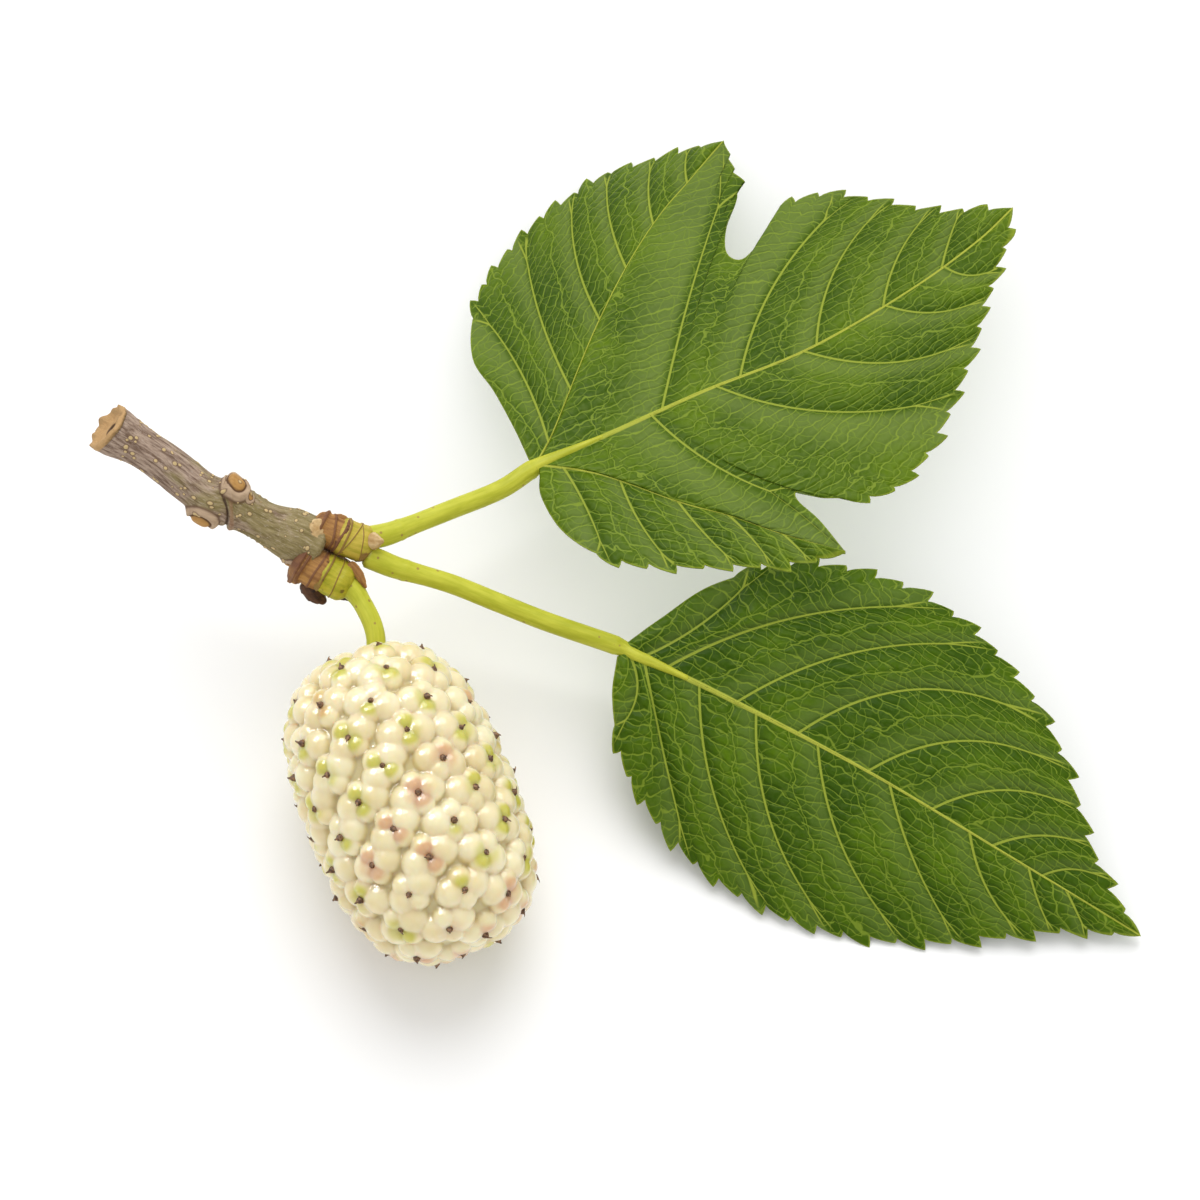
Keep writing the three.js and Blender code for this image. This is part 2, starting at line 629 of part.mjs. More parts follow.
// A leaf's blade: the sheet, thickened both ways, closed by a rim.
function makeLeaf(leaf) {
  const sheet = new Sheet();
  const midrib = curve(leaf.midrib);
  const crest = addSide(sheet, leaf, 'left', midrib);
  const rightFoot = addSide(sheet, leaf, 'right', midrib);
  const unique = (line) => line.filter((point, i) => point !== line[i - 1]);
  sheet.zip(unique([crest[0], ...rightFoot]), unique(crest));
  const half = BLADE_THICKNESS / 2;
  const tops = sheet.points.map(({ x, y, lift }) => [x, y, camber(leaf, x, y) + lift + half]);
  const unders = sheet.points.map(({ x, y, lift, rib }) => [x, y, camber(leaf, x, y) + lift - half - rib]);
  const count = sheet.points.length;
  const topFaces = sheet.faces;
  const underFaces = sheet.faces.map(([a, b, c]) => [a + count, c + count, b + count]);
  const rim = sheet.border().flatMap(([a, b]) => [[a, a + count, b + count], [a, b + count, b]]);
  const geometry = makeGeometry([...tops, ...unders], [...topFaces, ...underFaces, ...rim]);
  const mesh = makeMesh(leaf.name, geometry, LEAF_GREEN);
  const { degToRad } = THREE.MathUtils;
  mesh.rotation.set(degToRad(leaf.bank), degToRad(-leaf.rise), degToRad(leaf.heading), 'ZYX');
  mesh.position.set(leaf.foot[0], leaf.foot[1], 0);
  mesh.updateMatrixWorld(true);
  mesh.position.z = -new THREE.Box3().setFromObject(mesh, true).min.z;
  mesh.updateMatrixWorld(true);
  return mesh;
}

// The end of a leaf's stalk, a gap short of the thick foot of its midrib.
function stalkEnd(leafMesh) {
  const middle = (ribLift(0) - RIB_DEPTH_FOOT) / 2;
  return leafMesh.localToWorld(new THREE.Vector3(-GAP - 0.4, 0, middle)).toArray();
}

// Fruit

// Radius of the fruit's core at u, which runs from -1 at the stalk to 1 at the far end.
function coreRadius(u) {
  return CORE_RADIUS * Math.max(0, 1 - Math.abs(u) ** CORE_SQUARENESS) ** (1 / CORE_SQUARENESS);
}

// Places along the core that share out its skin evenly.
function evenPlaces(count) {
  const steps = 2000;
  const us = Array.from({ length: steps + 1 }, (_, i) => (2 * i) / steps - 1);
  const areas = [0];
  for (let i = 1; i <= steps; i += 1) {
    const rise = coreRadius(us[i]) - coreRadius(us[i - 1]);
    const run = CORE_HALF_LENGTH * (us[i] - us[i - 1]);
    const middle = (coreRadius(us[i]) + coreRadius(us[i - 1])) / 2;
    areas.push(areas[i - 1] + middle * Math.hypot(rise, run));
  }
  const shares = Array.from({ length: count }, (_, k) => (k + 0.5) / count);
  return shares.map((share) => interpolate(areas, us, share * areas[steps]));
}

// The fruitlets stand on a spiral round the core, x along its axis, but for one where the stalk is.
function makeFruitlets(pit) {
  const goldenTurn = TURN * (1 - 2 / (1 + Math.sqrt(5)));
  const places = evenPlaces(FRUITLETS).map((u, k) => {
    const turn = k * goldenTurn;
    const radius = coreRadius(u);
    const sideways = new THREE.Vector3(0, Math.cos(turn), Math.sin(turn));
    const middle = sideways.clone().multiplyScalar(radius).setX(CORE_HALF_LENGTH * u);
    const steep = Math.abs(u) ** (CORE_SQUARENESS - 1);
    const round = (radius / CORE_RADIUS) ** (CORE_SQUARENESS - 1);
    const outwards = sideways.clone().multiplyScalar(round / CORE_RADIUS);
    outwards.setX((Math.sign(u) * steep) / CORE_HALF_LENGTH).normalize();
    const around = new THREE.Vector3(0, -Math.sin(turn), Math.cos(turn));
    const lengthwise = new THREE.Vector3().crossVectors(around, outwards);
    return { k, middle, around, lengthwise };
  });
  return places.filter(({ middle }) => middle.distanceTo(pit) > STALK_PIT_CLEAR);
}

function makeGlobes({ k, middle, around, lengthwise }) {
  const tilt = (chance(k, 5) - 0.5) * 0.7;
  return [0, 1, 2, 3].map((m) => {
    const size = (m % 2 ? SMALL_GLOBE : 1) * (0.94 + 0.12 * chance(4 * k + m, 6));
    const angle = tilt + (m / 4) * TURN;
    const offset = GLOBE_OFFSET * size;
    const place = middle.clone().addScaledVector(around, Math.cos(angle) * offset);
    place.addScaledVector(lengthwise, Math.sin(angle) * offset);
    return { place, radius: GLOBE_RADIUS * size };
  });
}

// How far out the outermost globe is in a direction from the fruit's middle; the core shows between
// the globes.
function skinDistance(direction, globes) {
  const { x, y, z } = direction;
  const lengthwise = (Math.abs(x) / CORE_HALF_LENGTH) ** CORE_SQUARENESS;
  const across = (Math.hypot(y, z) / CORE_RADIUS) ** CORE_SQUARENESS;
  let farthest = (lengthwise + across) ** (-1 / CORE_SQUARENESS) + HOLLOW_FLOOR;
  for (const { place, radius } of globes) {
    const nearest = place.dot(direction);
    const inside = nearest ** 2 - place.lengthSq() + radius ** 2;
    if (inside > 0) farthest = Math.max(farthest, nearest + Math.sqrt(inside));
  }
  return farthest;
}

// Directions from the fruit's middle are joined as their neighbours on a sphere are.
function joinDirections(directions) {
  const numbers = new Map(directions.map((direction, i) => [direction, i]));
  return new ConvexHull().setFromPoints(directions).faces.map((face) => {
    const corners = [face.edge, face.edge.next, face.edge.prev];
    return corners.map((edge) => numbers.get(edge.head().point));
  });
}

// Three points at an even distance round a fruitlet's style.
function styleRoots({ middle, around, lengthwise }) {
  return [0, 1, 2].map((j) => {
    const angle = (j / 3) * TURN + 0.4;
    const root = middle.clone().addScaledVector(around, Math.cos(angle) * STYLE_RADIUS);
    return root.addScaledVector(lengthwise, Math.sin(angle) * STYLE_RADIUS);
  });
}

function makeFruit() {
  const axis = new THREE.Vector3(...FRUIT_AXIS).normalize();
  const side = new THREE.Vector3().crossVectors(UP, axis).normalize();
  const top = new THREE.Vector3().crossVectors(axis, side);
  const turned = new THREE.Matrix4().makeBasis(axis, side, top).setPosition(...FRUIT_MIDDLE);
  const pit = new THREE.Vector3(...FRUIT_STALK_LINE.at(-1)).applyMatrix4(turned.clone().invert());
  const pitDepth = pit.length() - GAP;
  const pitCentre = pit.clone().normalize();
  const clearOfPit = ({ place, radius }) => {
    const beside = place.clone().projectOnPlane(pitCentre).length();
    return place.dot(pit) < 0 || beside > radius * 0.6 + STALK_PIT_RADIUS;
  };
  const fruitlets = makeFruitlets(pit);
  const globes = fruitlets.flatMap(makeGlobes).filter(clearOfPit);
  const tops = globes.map(({ place }) => place.clone().normalize());
  const styles = fruitlets.map(({ middle }) => middle.clone().normalize());

  // Where three globes meet lies a hollow, and each of the globes has an edge towards it.
  const sites = [...tops, ...styles, pitCentre];
  const amongTops = (corners) => corners.every((corner) => corner < tops.length);
  const meetings = joinDirections(sites).filter(amongTops);
  const hollows = meetings.flatMap((corners) => {
    const [a, b, c] = corners.map((corner) => sites[corner]);
    const hollow = new THREE.Vector3().add(a).add(b).add(c).normalize();
    return [hollow, ...[a, b, c].map((apex) => apex.clone().lerp(hollow, GLOBE_EDGE).normalize())];
  });
  const pitSide = new THREE.Vector3().crossVectors(pitCentre, UP).normalize();
  const pitTop = new THREE.Vector3().crossVectors(pitSide, pitCentre);
  const pitRim = Array.from({ length: 8 }, (_, j) => {
    const angle = (j / 8) * TURN;
    const rim = pitCentre.clone().multiplyScalar(pitDepth);
    rim.addScaledVector(pitSide, Math.cos(angle) * STALK_PIT_RADIUS);
    return rim.addScaledVector(pitTop, Math.sin(angle) * STALK_PIT_RADIUS).normalize();
  });

  const roots = fruitlets.flatMap(styleRoots).map((root) => root.normalize());
  const pitTurn = pitCentre.angleTo(pitRim[0]) * 1.1;
  const outsidePit = (direction) => direction.angleTo(pitCentre) > pitTurn;
  const onSkin = [...tops, ...hollows, ...roots].filter(outsidePit);
  const directions = [...onSkin, ...styles, pitCentre, ...pitRim];
  const distances = [
    ...onSkin.map((direction) => skinDistance(direction, globes)),
    ...styles.map((direction) => skinDistance(direction, globes) + STYLE_RISE),
    ...[pitCentre, ...pitRim].map(() => pitDepth),
  ];
  const faces = joinDirections(directions);
  const positions = directions.map((direction, i) => direction.clone().multiplyScalar(distances[i]));
  for (const position of positions) position.applyMatrix4(turned);

  // The fruit rests on a small flat.
  const places = positions.map(({ x, y, z }) => [x, y, Math.max(0, z)]);
  return makeMesh('fruit', makeGeometry(places, faces), FRUIT_WHITE);
}

// Assembly

const lowerLeaf = makeLeaf(LOWER_LEAF);
const upperLeaf = makeLeaf(UPPER_LEAF);
const upperStalkLine = [...UPPER_STALK_LINE, stalkEnd(upperLeaf)];
const lowerStalkLine = [...LOWER_STALK_LINE, stalkEnd(lowerLeaf)];

const fruitSpurRoom = makeSpur(FRUIT_SPUR_LINE, FRUIT_SPUR_RADIUS, 3, GAP);
const fruitShootRoom = makeSpur(FRUIT_SHOOT_LINE, FRUIT_SHOOT_RADIUS, 2, GAP);
const leafSpurRoom = makeSpur(LEAF_SPUR_LINE, LEAF_SPUR_RADIUS, 3, GAP);
const leafShootRoom = makeSpur(LEAF_SHOOT_LINE, LEAF_SHOOT_RADIUS, 2, GAP);
const upperStalkRoom = makeStalk(upperStalkLine, GAP);
const lowerStalkRoom = makeStalk(lowerStalkLine, GAP);
const fruitStalkRoom = makeFruitStalk(GAP);
const darkRoom = makeBud(BUDS.bud_dark, GAP);
const paleRoom = makeBud(BUDS.bud_pale, GAP);
const axilRoom = makeBud(BUDS.bud_axil, GAP);
const scaleRoom = makeBud(BUDS.bud_scale, GAP);

const twig = seat(makeTwig(), fruitSpurRoom, leafSpurRoom, fruitShootRoom, darkRoom, paleRoom);
const fruitSpur = seat(
  makeSpur(FRUIT_SPUR_LINE, FRUIT_SPUR_RADIUS, 3),
  fruitShootRoom,
  leafSpurRoom,
  fruitStalkRoom,
  darkRoom,
);
const fruitShoot = seat(
  makeSpur(FRUIT_SHOOT_LINE, FRUIT_SHOOT_RADIUS, 2),
  leafShootRoom,
  leafSpurRoom,
  lowerStalkRoom,
  fruitStalkRoom,
  darkRoom,
  scaleRoom,
);
const leafSpur = seat(makeSpur(LEAF_SPUR_LINE, LEAF_SPUR_RADIUS, 3), leafShootRoom, paleRoom);
const leafShoot = seat(
  makeSpur(LEAF_SHOOT_LINE, LEAF_SHOOT_RADIUS, 2),
  upperStalkRoom,
  lowerStalkRoom,
  axilRoom,
  scaleRoom,
);
const upperStalk = seat(makeStalk(upperStalkLine), lowerStalkRoom, axilRoom);
const lowerStalk = seat(makeStalk(lowerStalkLine), axilRoom, scaleRoom);
const fruitStalk = seat(makeFruitStalk(), scaleRoom);

const sprig = new THREE.Group();
sprig.add(
  makeMesh('twig', twig, BARK),
  makeMesh('fruit_spur', fruitSpur, SPUR_BARK),
  makeMesh('fruit_shoot', fruitShoot, GREEN_BARK),
  makeMesh('leaf_spur', leafSpur, SPUR_BARK),
  makeMesh('leaf_shoot', leafShoot, GREEN_BARK),
  makeMesh('bud_dark', makeBud(BUDS.bud_dark), DARK_BUD),
  makeMesh('bud_pale', makeBud(BUDS.bud_pale), PALE_BUD),
  makeMesh('bud_axil', makeBud(BUDS.bud_axil), PALE_BUD),
  makeMesh('bud_scale', makeBud(BUDS.bud_scale), SPUR_BARK),
  makeMesh('leaf_stalk_upper', upperStalk, STALK_GREEN),
  makeMesh('leaf_stalk_lower', lowerStalk, STALK_GREEN),
  makeMesh('fruit_stalk', fruitStalk, STALK_GREEN),
  makeFruit(),
  upperLeaf,
  lowerLeaf,
);
sprig.position.set(-BOX_MIDDLE_X, -BOX_MIDDLE_Y, 0);

const part = new THREE.Group();
part.add(sprig);

export default part;
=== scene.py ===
# %% [markdown]
# A cut sprig of white mulberry, lying on a table. The imported CAD part is loaded first as a fixed frame,
# and most pieces made here take the place of one of its nodes. Lengths are worked out in millimetres
# in the sprig's first frame and turned into Blender's metres only where a mesh is made.

# %% Load the frame
import bpy
import numpy as np
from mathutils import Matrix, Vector


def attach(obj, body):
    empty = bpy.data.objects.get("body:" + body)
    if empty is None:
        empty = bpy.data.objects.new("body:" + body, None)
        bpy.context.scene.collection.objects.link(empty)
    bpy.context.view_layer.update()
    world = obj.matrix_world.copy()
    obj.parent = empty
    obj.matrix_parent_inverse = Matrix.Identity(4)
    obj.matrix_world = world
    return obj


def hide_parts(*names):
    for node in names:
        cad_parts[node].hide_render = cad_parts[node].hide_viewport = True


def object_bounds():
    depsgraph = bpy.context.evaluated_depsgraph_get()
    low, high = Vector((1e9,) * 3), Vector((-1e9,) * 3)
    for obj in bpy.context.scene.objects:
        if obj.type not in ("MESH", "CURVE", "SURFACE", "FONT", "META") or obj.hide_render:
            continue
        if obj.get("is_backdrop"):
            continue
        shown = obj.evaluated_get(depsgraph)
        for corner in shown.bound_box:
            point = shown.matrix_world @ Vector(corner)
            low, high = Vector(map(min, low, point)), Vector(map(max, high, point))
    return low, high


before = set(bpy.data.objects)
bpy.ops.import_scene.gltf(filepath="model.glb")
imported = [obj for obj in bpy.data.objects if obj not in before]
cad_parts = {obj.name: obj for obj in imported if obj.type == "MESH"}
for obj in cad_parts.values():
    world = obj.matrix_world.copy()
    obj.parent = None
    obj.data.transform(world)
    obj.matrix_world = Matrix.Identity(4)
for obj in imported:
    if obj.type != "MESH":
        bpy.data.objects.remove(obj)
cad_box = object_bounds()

MM = 0.001
TURN = 2 * np.pi
BOX_MIDDLE = np.array([2.297, 7.723, 0.0])
print("nodes:", sorted(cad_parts))
print("CAD box in metres:", cad_box)

# %% [markdown]
# Almost everything on a plant follows a line: a twig, a stalk, a midrib, the edge of a leaf. A smooth
# curve through a few knots is enough to hold each of them. It is read by the share of its length, so
# that points at even shares lie at even distances.


# %% Smooth lines
class Line:
    """A Catmull-Rom curve: between two knots, a cubic whose slope at each knot is half the step from
    the knot before to the knot after. The end knots are mirrored to give the ends a slope."""

    STEPS = 1600

    def __init__(self, knots):
        knots = np.array([(*knot, 0.0)[:3] for knot in knots])
        p = np.vstack([2 * knots[0] - knots[1], knots, 2 * knots[-1] - knots[-2]])
        u = np.linspace(0, len(knots) - 1, self.STEPS + 1)
        k = np.minimum(u.astype(int), len(knots) - 2)
        t = (u - k)[:, None]
        a, b, c, d = p[k], p[k + 1], p[k + 2], p[k + 3]
        cubic = 2 * b + (c - a) * t + (2 * a - 5 * b + 4 * c - d) * t**2 + (3 * b - a - 3 * c + d) * t**3
        self.points = cubic / 2
        steps = np.linalg.norm(np.diff(self.points, axis=0), axis=1)
        self.distances = np.concatenate([[0], np.cumsum(steps)])
        self.length = self.distances[-1]

    def at(self, share):
        where = np.asarray(share) * self.length
        return np.stack([np.interp(where, self.distances, column) for column in self.points.T], axis=-1)

    def tangent(self, share):
        step = 0.002
        run = self.at(np.clip(share + step, 0, 1)) - self.at(np.clip(share - step, 0, 1))
        return run / np.linalg.norm(run, axis=-1, keepdims=True)


def smoothstep(value, low, high):
    """Rises from 0 at low to 1 at high with a level start and end."""
    t = np.clip((value - low) / (high - low), 0, 1)
    return t * t * (3 - 2 * t)


def bell(value, width):
    """1 where the value is 0, falling off evenly to both sides: exp(-(value / width)^2)."""
    return np.exp(-((value / width) ** 2))


def round_angles(sides):
    return np.arange(sides) / sides * TURN


def chance(number, seed):
    """A steady random number from 0 to 1 for each whole number."""
    wave = np.sin(np.asarray(number) * 12.9898 + seed * 78.233) * 43758.5453
    return wave - np.floor(wave)


def ripple(along, angle, seed, turns, tightness, count=24):
    """Uneven ridges round a stem: a sum of sines whose whole numbers of turns keep it free of a seam."""
    rng = np.random.default_rng(seed)
    total = 0
    for _ in range(count):
        whole = rng.integers(turns[0], turns[1])
        total = total + np.sin(whole * angle + rng.normal(0, tightness) * along + rng.uniform(0, TURN))
    return total / np.sqrt(count)


# %% [markdown]
# Every surface below ends as arrays: points, triangles, and numbers that its material reads. One
# function puts them into a mesh. Numbers that differ on two sides of a seam, such as the count of side
# veins left and right of a midrib, are kept at the corners of faces, and the rest at points.

# %% Put arrays into a mesh
pieces = {}


def add_attribute(mesh, name, domain, values):
    values = np.asarray(values, dtype=np.float32)
    kind, field = ("FLOAT", "value") if values.ndim == 1 else ("FLOAT_VECTOR", "vector")
    mesh.attributes.new(name, kind, domain).data.foreach_set(field, values.ravel())


def make_piece(name, points, faces, slot, replaced=(), at_points=None, at_corners=None):
    """Makes one smooth-shaded object from points in millimetres, triangles and what its material reads."""
    mesh = bpy.data.meshes.new(name)
    mesh.vertices.add(len(points))
    mesh.vertices.foreach_set("co", ((points - BOX_MIDDLE) * MM).astype(np.float32).ravel())
    mesh.loops.add(faces.size)
    mesh.loops.foreach_set("vertex_index", faces.astype(np.int32).ravel())
    mesh.polygons.add(len(faces))
    mesh.polygons.foreach_set("loop_start", np.arange(0, faces.size, 3, dtype=np.int32))
    mesh.polygons.foreach_set("use_smooth", np.ones(len(faces), dtype=bool))
    for key, values in (at_points or {}).items():
        add_attribute(mesh, key, "POINT", values)
    for key, values in (at_corners or {}).items():
        add_attribute(mesh, key, "CORNER", values)
    mesh.update(calc_edges=True)
    piece = bpy.data.objects.new(name, mesh)
    bpy.context.scene.collection.objects.link(piece)
    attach(piece, "root")
    if replaced:
        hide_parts(*replaced)
    pieces[name] = piece
    print(f"{name}: {len(points)} points, {len(faces)} triangles")


# %% [markdown]
# A stem is a ring of points carried along a line. Each ring stands square to the line, and its radius
# is a function of the place along the line and the angle round it, so knots, rings and bark are all
# written as radii. A closed cap at each end finishes it: smaller rings, then one point in the middle.


# %% Stems
def tube_faces(rows, sides):
    """Triangles that join rings of points in a row, and at each end a fan to a single point. The points
    of the rings come first, then the point of the first fan and that of the last."""
    i, j = np.meshgrid(np.arange(rows - 1), np.arange(sides), indexing="ij")
    here, beside = i * sides + j, i * sides + (j + 1) % sides
    ring = np.arange(sides)
    after = (ring + 1) % sides
    last_ring = (rows - 1) * sides
    first_point = np.full(sides, rows * sides)
    return np.vstack([
        np.stack([here, here + sides, beside + sides], axis=-1).reshape(-1, 3),
        np.stack([here, beside + sides, beside], axis=-1).reshape(-1, 3),
        np.stack([first_point, ring, after], axis=-1),
        np.stack([first_point + 1, last_ring + after, last_ring + ring], axis=-1),
    ])


def row_shares(rows, start_cap, end_cap):
    """The share of the line's length where each ring stands, those of the caps too."""
    return np.concatenate([np.zeros(len(start_cap) - 1), np.linspace(0, 1, rows), np.ones(len(end_cap) - 1)])


def make_stem(name, replaced, slot, line, rows, sides, radius, start_cap, end_cap, **readings):
    """Point = line(share) + radius * (cos(angle) * side + sin(angle) * top), with side level and top
    square to it; a quarter turn is the stem's top. A cap entry is (share of the ring's size, how far
    out past the end), and how far out may vary with the angle."""
    angle, share = round_angles(sides), row_shares(rows, start_cap, end_cap)
    start = [(size, -np.asarray(out)) for size, out in reversed(start_cap[:-1])]
    rings = [*start, *[(1.0, 0.0)] * rows, *end_cap[:-1]]
    size = np.array([size for size, _ in rings])
    out = np.stack([np.broadcast_to(out, sides) for _, out in rings])
    middle, along = line.at(share), line.tangent(share)
    side = np.cross(along, [0, 0, 1])
    side = side / np.linalg.norm(side, axis=1, keepdims=True)
    top = np.cross(side, along)
    r = radius(share[:, None], angle[None, :]) * size[:, None]
    cos, sin = r * np.cos(angle), r * np.sin(angle)
    ring = middle[:, None] + cos[..., None] * side[:, None] + sin[..., None] * top[:, None]
    ring = ring + out[..., None] * along[:, None]
    first = middle[0] - along[0] * start_cap[-1][1]
    last = middle[-1] + along[-1] * end_cap[-1][1]
    points = np.vstack([ring.reshape(-1, 3), first, last])

    # The place on the stem: how far along it, and the two parts of the radius.
    length = np.broadcast_to((share * line.length)[:, None], r.shape)
    place = np.stack([length, cos, sin], axis=-1).reshape(-1, 3)
    readings["stem"] = np.vstack([place, [0, 0, 0], [line.length, 0, 0]])
    make_piece(name, points, tube_faces(len(share), sides), slot, replaced, at_points=readings)


# %% [markdown]
# The twig is last year's wood: grey bark over olive, with fine ridges, pale pores, a swollen node that
# carries the scar of a fallen leaf, and a torn cut end round a dark pith. All of it is relief on one
# swept surface. Pores, scars and cracks are also kept as numbers at each point for the bark's colours.

# %% Twig
TWIG_LINE = Line([
    (-47.3, 11.5, 24.5), (-42.8, 9.2, 22.6), (-38.5, 6.4, 20.6), (-36.0, 5.7, 19.6),
    (-32.3, 4.2, 17.9), (-29.4, 3.3, 16.6), (-28.0, 2.8, 16.0),
])
TWIG_RADIUS = 1.95
NODE_PLACE = 0.57
# Scars and knobs: place along the twig, turn round it, half length, half width in turns, height.
TWIG_MARKS = [
    (0.57, 0.34, 0.068, 0.125, 0.75),
    (0.50, 0.985, 0.060, 0.12, 0.70),
    (0.64, 0.31, 0.024, 0.05, 0.25),
    (0.93, 0.95, 0.045, 0.09, 0.35),
]
PORES = 190
PORE_HEIGHT, PORE_STRETCH, PORE_SIZES = 0.1, 1.4, (0.07, 0.19)
CUT_FLARE, NODE_SWELLING, FORK_SWELLING = 0.5, 0.35, 0.7
CUT_SLANT = 0.6
MOAT_DEPTH = 0.35
BAND_RIDGE, BAND_CRACK, BAND_BESIDE = 0.22, 0.26, 0.012
FAR_FROM_SCARS = 3.0
TWIG_ROWS, TWIG_SIDES = 330, 110


def mark_distance(share, angle, mark):
    place, turn, half, width, _ = mark
    turns = angle / TURN - turn
    return np.hypot((share - place) / half, (turns - np.round(turns)) / width)


def twig_radius(share, angle):
    """Radius = round wood + flare at the cut + swelling at node and fork + scars + ridges + pores."""
    along = share * TWIG_LINE.length
    radius = TWIG_RADIUS + CUT_FLARE * bell(share, 0.08) + FORK_SWELLING * smoothstep(share, 0.72, 0.92)
    radius = radius + NODE_SWELLING * bell(share - NODE_PLACE, 0.09)
    for mark in TWIG_MARKS:
        distance = mark_distance(share, angle, mark)
        mound, moat = 1 - smoothstep(distance, 0.55, 1.2), bell(distance - 0.52, 0.13)
        radius = radius + mark[-1] * (mound - MOAT_DEPTH * moat)
    radius = radius + 0.04 * ripple(along, angle, 3, (9, 40), 0.5)
    radius = radius + 0.06 * ripple(along, angle, 4, (2, 7), 0.7)
    ridge = BAND_RIDGE * node_band(share, angle, BAND_BESIDE, 0.014)
    crack = BAND_CRACK * node_band(share, angle, -BAND_BESIDE, 0.009)
    return radius + ridge - crack + PORE_HEIGHT * pores(share, angle)


def pores(share, angle):
    """Small raised lens-shaped spots at random places; 1 in the middle of each."""
    rng = np.random.default_rng(11)
    total = np.zeros(np.broadcast(share, angle).shape)
    for _ in range(PORES):
        place, turn = rng.uniform(0.05, 0.97), rng.uniform(0, 1)
        size = rng.uniform(*PORE_SIZES)
        along = (share - place) * TWIG_LINE.length
        turns = angle / TURN - turn
        around = (turns - np.round(turns)) * TURN * TWIG_RADIUS
        total = np.maximum(total, bell(np.hypot(along / PORE_STRETCH, around), size))
    return total


def node_band(share, angle, beside, width):
    """A narrow band that runs slanting round the node from the leaf scar, 1 along its middle."""
    slant = NODE_PLACE + 0.02 + beside - 0.05 * np.cos(angle - 0.36 * TURN) + 0.008 * np.sin(3 * angle)
    return bell(share - slant, width)


def torn(seed, size, height, spread):
    """How far the torn face stands out at each angle: it slants, so its lower edge reaches further."""
    angle = round_angles(TWIG_SIDES)
    slant = -CUT_SLANT * size * np.sin(angle)
    return size, height + slant + spread * ripple(0 * angle, angle, seed, (1, 9), 0)


def first_rows(count):
    """1 on the first rings and the point that closes them, 0 on the rest."""
    return np.append(np.repeat(np.arange(len(twig_share)) < count, TWIG_SIDES), [1, 0])


TWIG_START = (
    torn(5, 1.03, 0.3, 0.06), torn(6, 1.0, 0.72, 0.2), torn(7, 0.88, 0.8, 0.2), torn(8, 0.76, 0.32, 0.12),
    torn(9, 0.62, 0.2, 0.08), torn(10, 0.42, 0.22, 0.06), torn(10, 0.26, 0.12, 0), (0.2, -0.6), (0, -0.8),
)
TWIG_END = ((0.75, 0.5), (0, 0.75))
twig_share = row_shares(TWIG_ROWS, TWIG_START, TWIG_END)[:, None]
twig_angle = round_angles(TWIG_SIDES)[None, :]
scars = np.min([mark_distance(twig_share, twig_angle, mark) for mark in TWIG_MARKS], axis=0)
crack = node_band(twig_share, twig_angle, -BAND_BESIDE, 0.011)
ridge = node_band(twig_share, twig_angle, BAND_BESIDE, 0.016)
marks = [pores(twig_share, twig_angle), np.minimum(scars, FAR_FROM_SCARS), crack - ridge]
make_stem(
    "twig_bark", ["twig"], "bark", TWIG_LINE, TWIG_ROWS, TWIG_SIDES, twig_radius, TWIG_START, TWIG_END,
    marks=np.vstack([np.stack(marks, axis=-1).reshape(-1, 3), [[0, FAR_FROM_SCARS, 0]] * 2]),
    cut=first_rows(len(TWIG_START) - 1), pith=first_rows(2))

# %% [markdown]
# At the fork, last year's twig ends in short knuckles of growth, each ringed by the scars of the bud
# scales that once wrapped it. A scar is a narrow collar that leans, so no two look alike. The fruit's
# knuckle and the leaves' knuckle are each a brown spur and a green shoot: four stems, one recipe.


# %% Collared shoots at the fork
def collar(share, angle, place, lean, turn, width):
    """1 along a line round the stem that leans by a share of the length towards one turn."""
    line = place + lean * np.cos(angle - turn * TURN) + 0.012 * np.sin(4 * angle + 9 * place)
    return bell(share - line, width)


def collared(radius, collars, seed):
    """Radius = base + each collar's height times its line + a soft lumpiness."""
    def at(share, angle):
        lumps = ripple(share * 4, angle, seed + 1, (2, 7), 1.0, count=10)
        fine = ripple(share * 4, angle, seed + 2, (12, 30), 2.0, count=12)
        rise = sum(height * collar(share, angle, *shape) for height, *shape in collars)
        return radius + rise + 0.05 * lumps + 0.014 * fine
    return at


# Name of the new piece: its node, line, radius, collars and slot. A collar has its height, place on the
# line, lean, the turn that it leans to, and width.
SHOOTS = {
    "fruit_spur_bark": (
        "fruit_spur", [(-29.3, 1.3, 15.8), (-28.3, 0.75, 15.6), (-27.2, 0.2, 15.45)], 1.95,
        [(0.6, 0.02, 0.05, 0.1, 0.1), (0.4, 0.3, 0.07, 0.6, 0.08), (0.12, 0.75, 0.12, 0.35, 0.06)],
        "spur_bark"),
    "fruit_shoot_skin": (
        "fruit_shoot", [(-27.0, 0.15, 15.4), (-26.1, -0.25, 15.2), (-25.2, -0.7, 15.1)], 1.98,
        [(0.16, 0.0, 0.1, 0.3, 0.06), (0.08, 0.62, 0.2, 0.15, 0.04)], "green_bark"),
    "leaf_spur_bark": (
        "leaf_spur", [(-27.5, 4.2, 17.1), (-26.3, 3.85, 16.9), (-25.1, 3.45, 16.7)], 1.6,
        [(0.3, 0.1, 0.1, 0.6, 0.09), (0.22, 0.48, 0.16, 0.1, 0.06), (0.3, 0.85, 0.14, 0.35, 0.08)],
        "spur_bark"),
    "leaf_shoot_skin": (
        "leaf_shoot", [(-25.3, 3.5, 16.7), (-24.3, 3.15, 16.45), (-23.3, 2.9, 16.2)], 1.86,
        [(0.16, 0.05, 0.16, 0.2, 0.06), (0.12, 0.42, 0.3, 0.45, 0.035), (0.08, 0.8, 0.2, 0.05, 0.03)],
        "green_bark"),
}
SHOOT_ROWS, SHOOT_SIDES = 80, 90
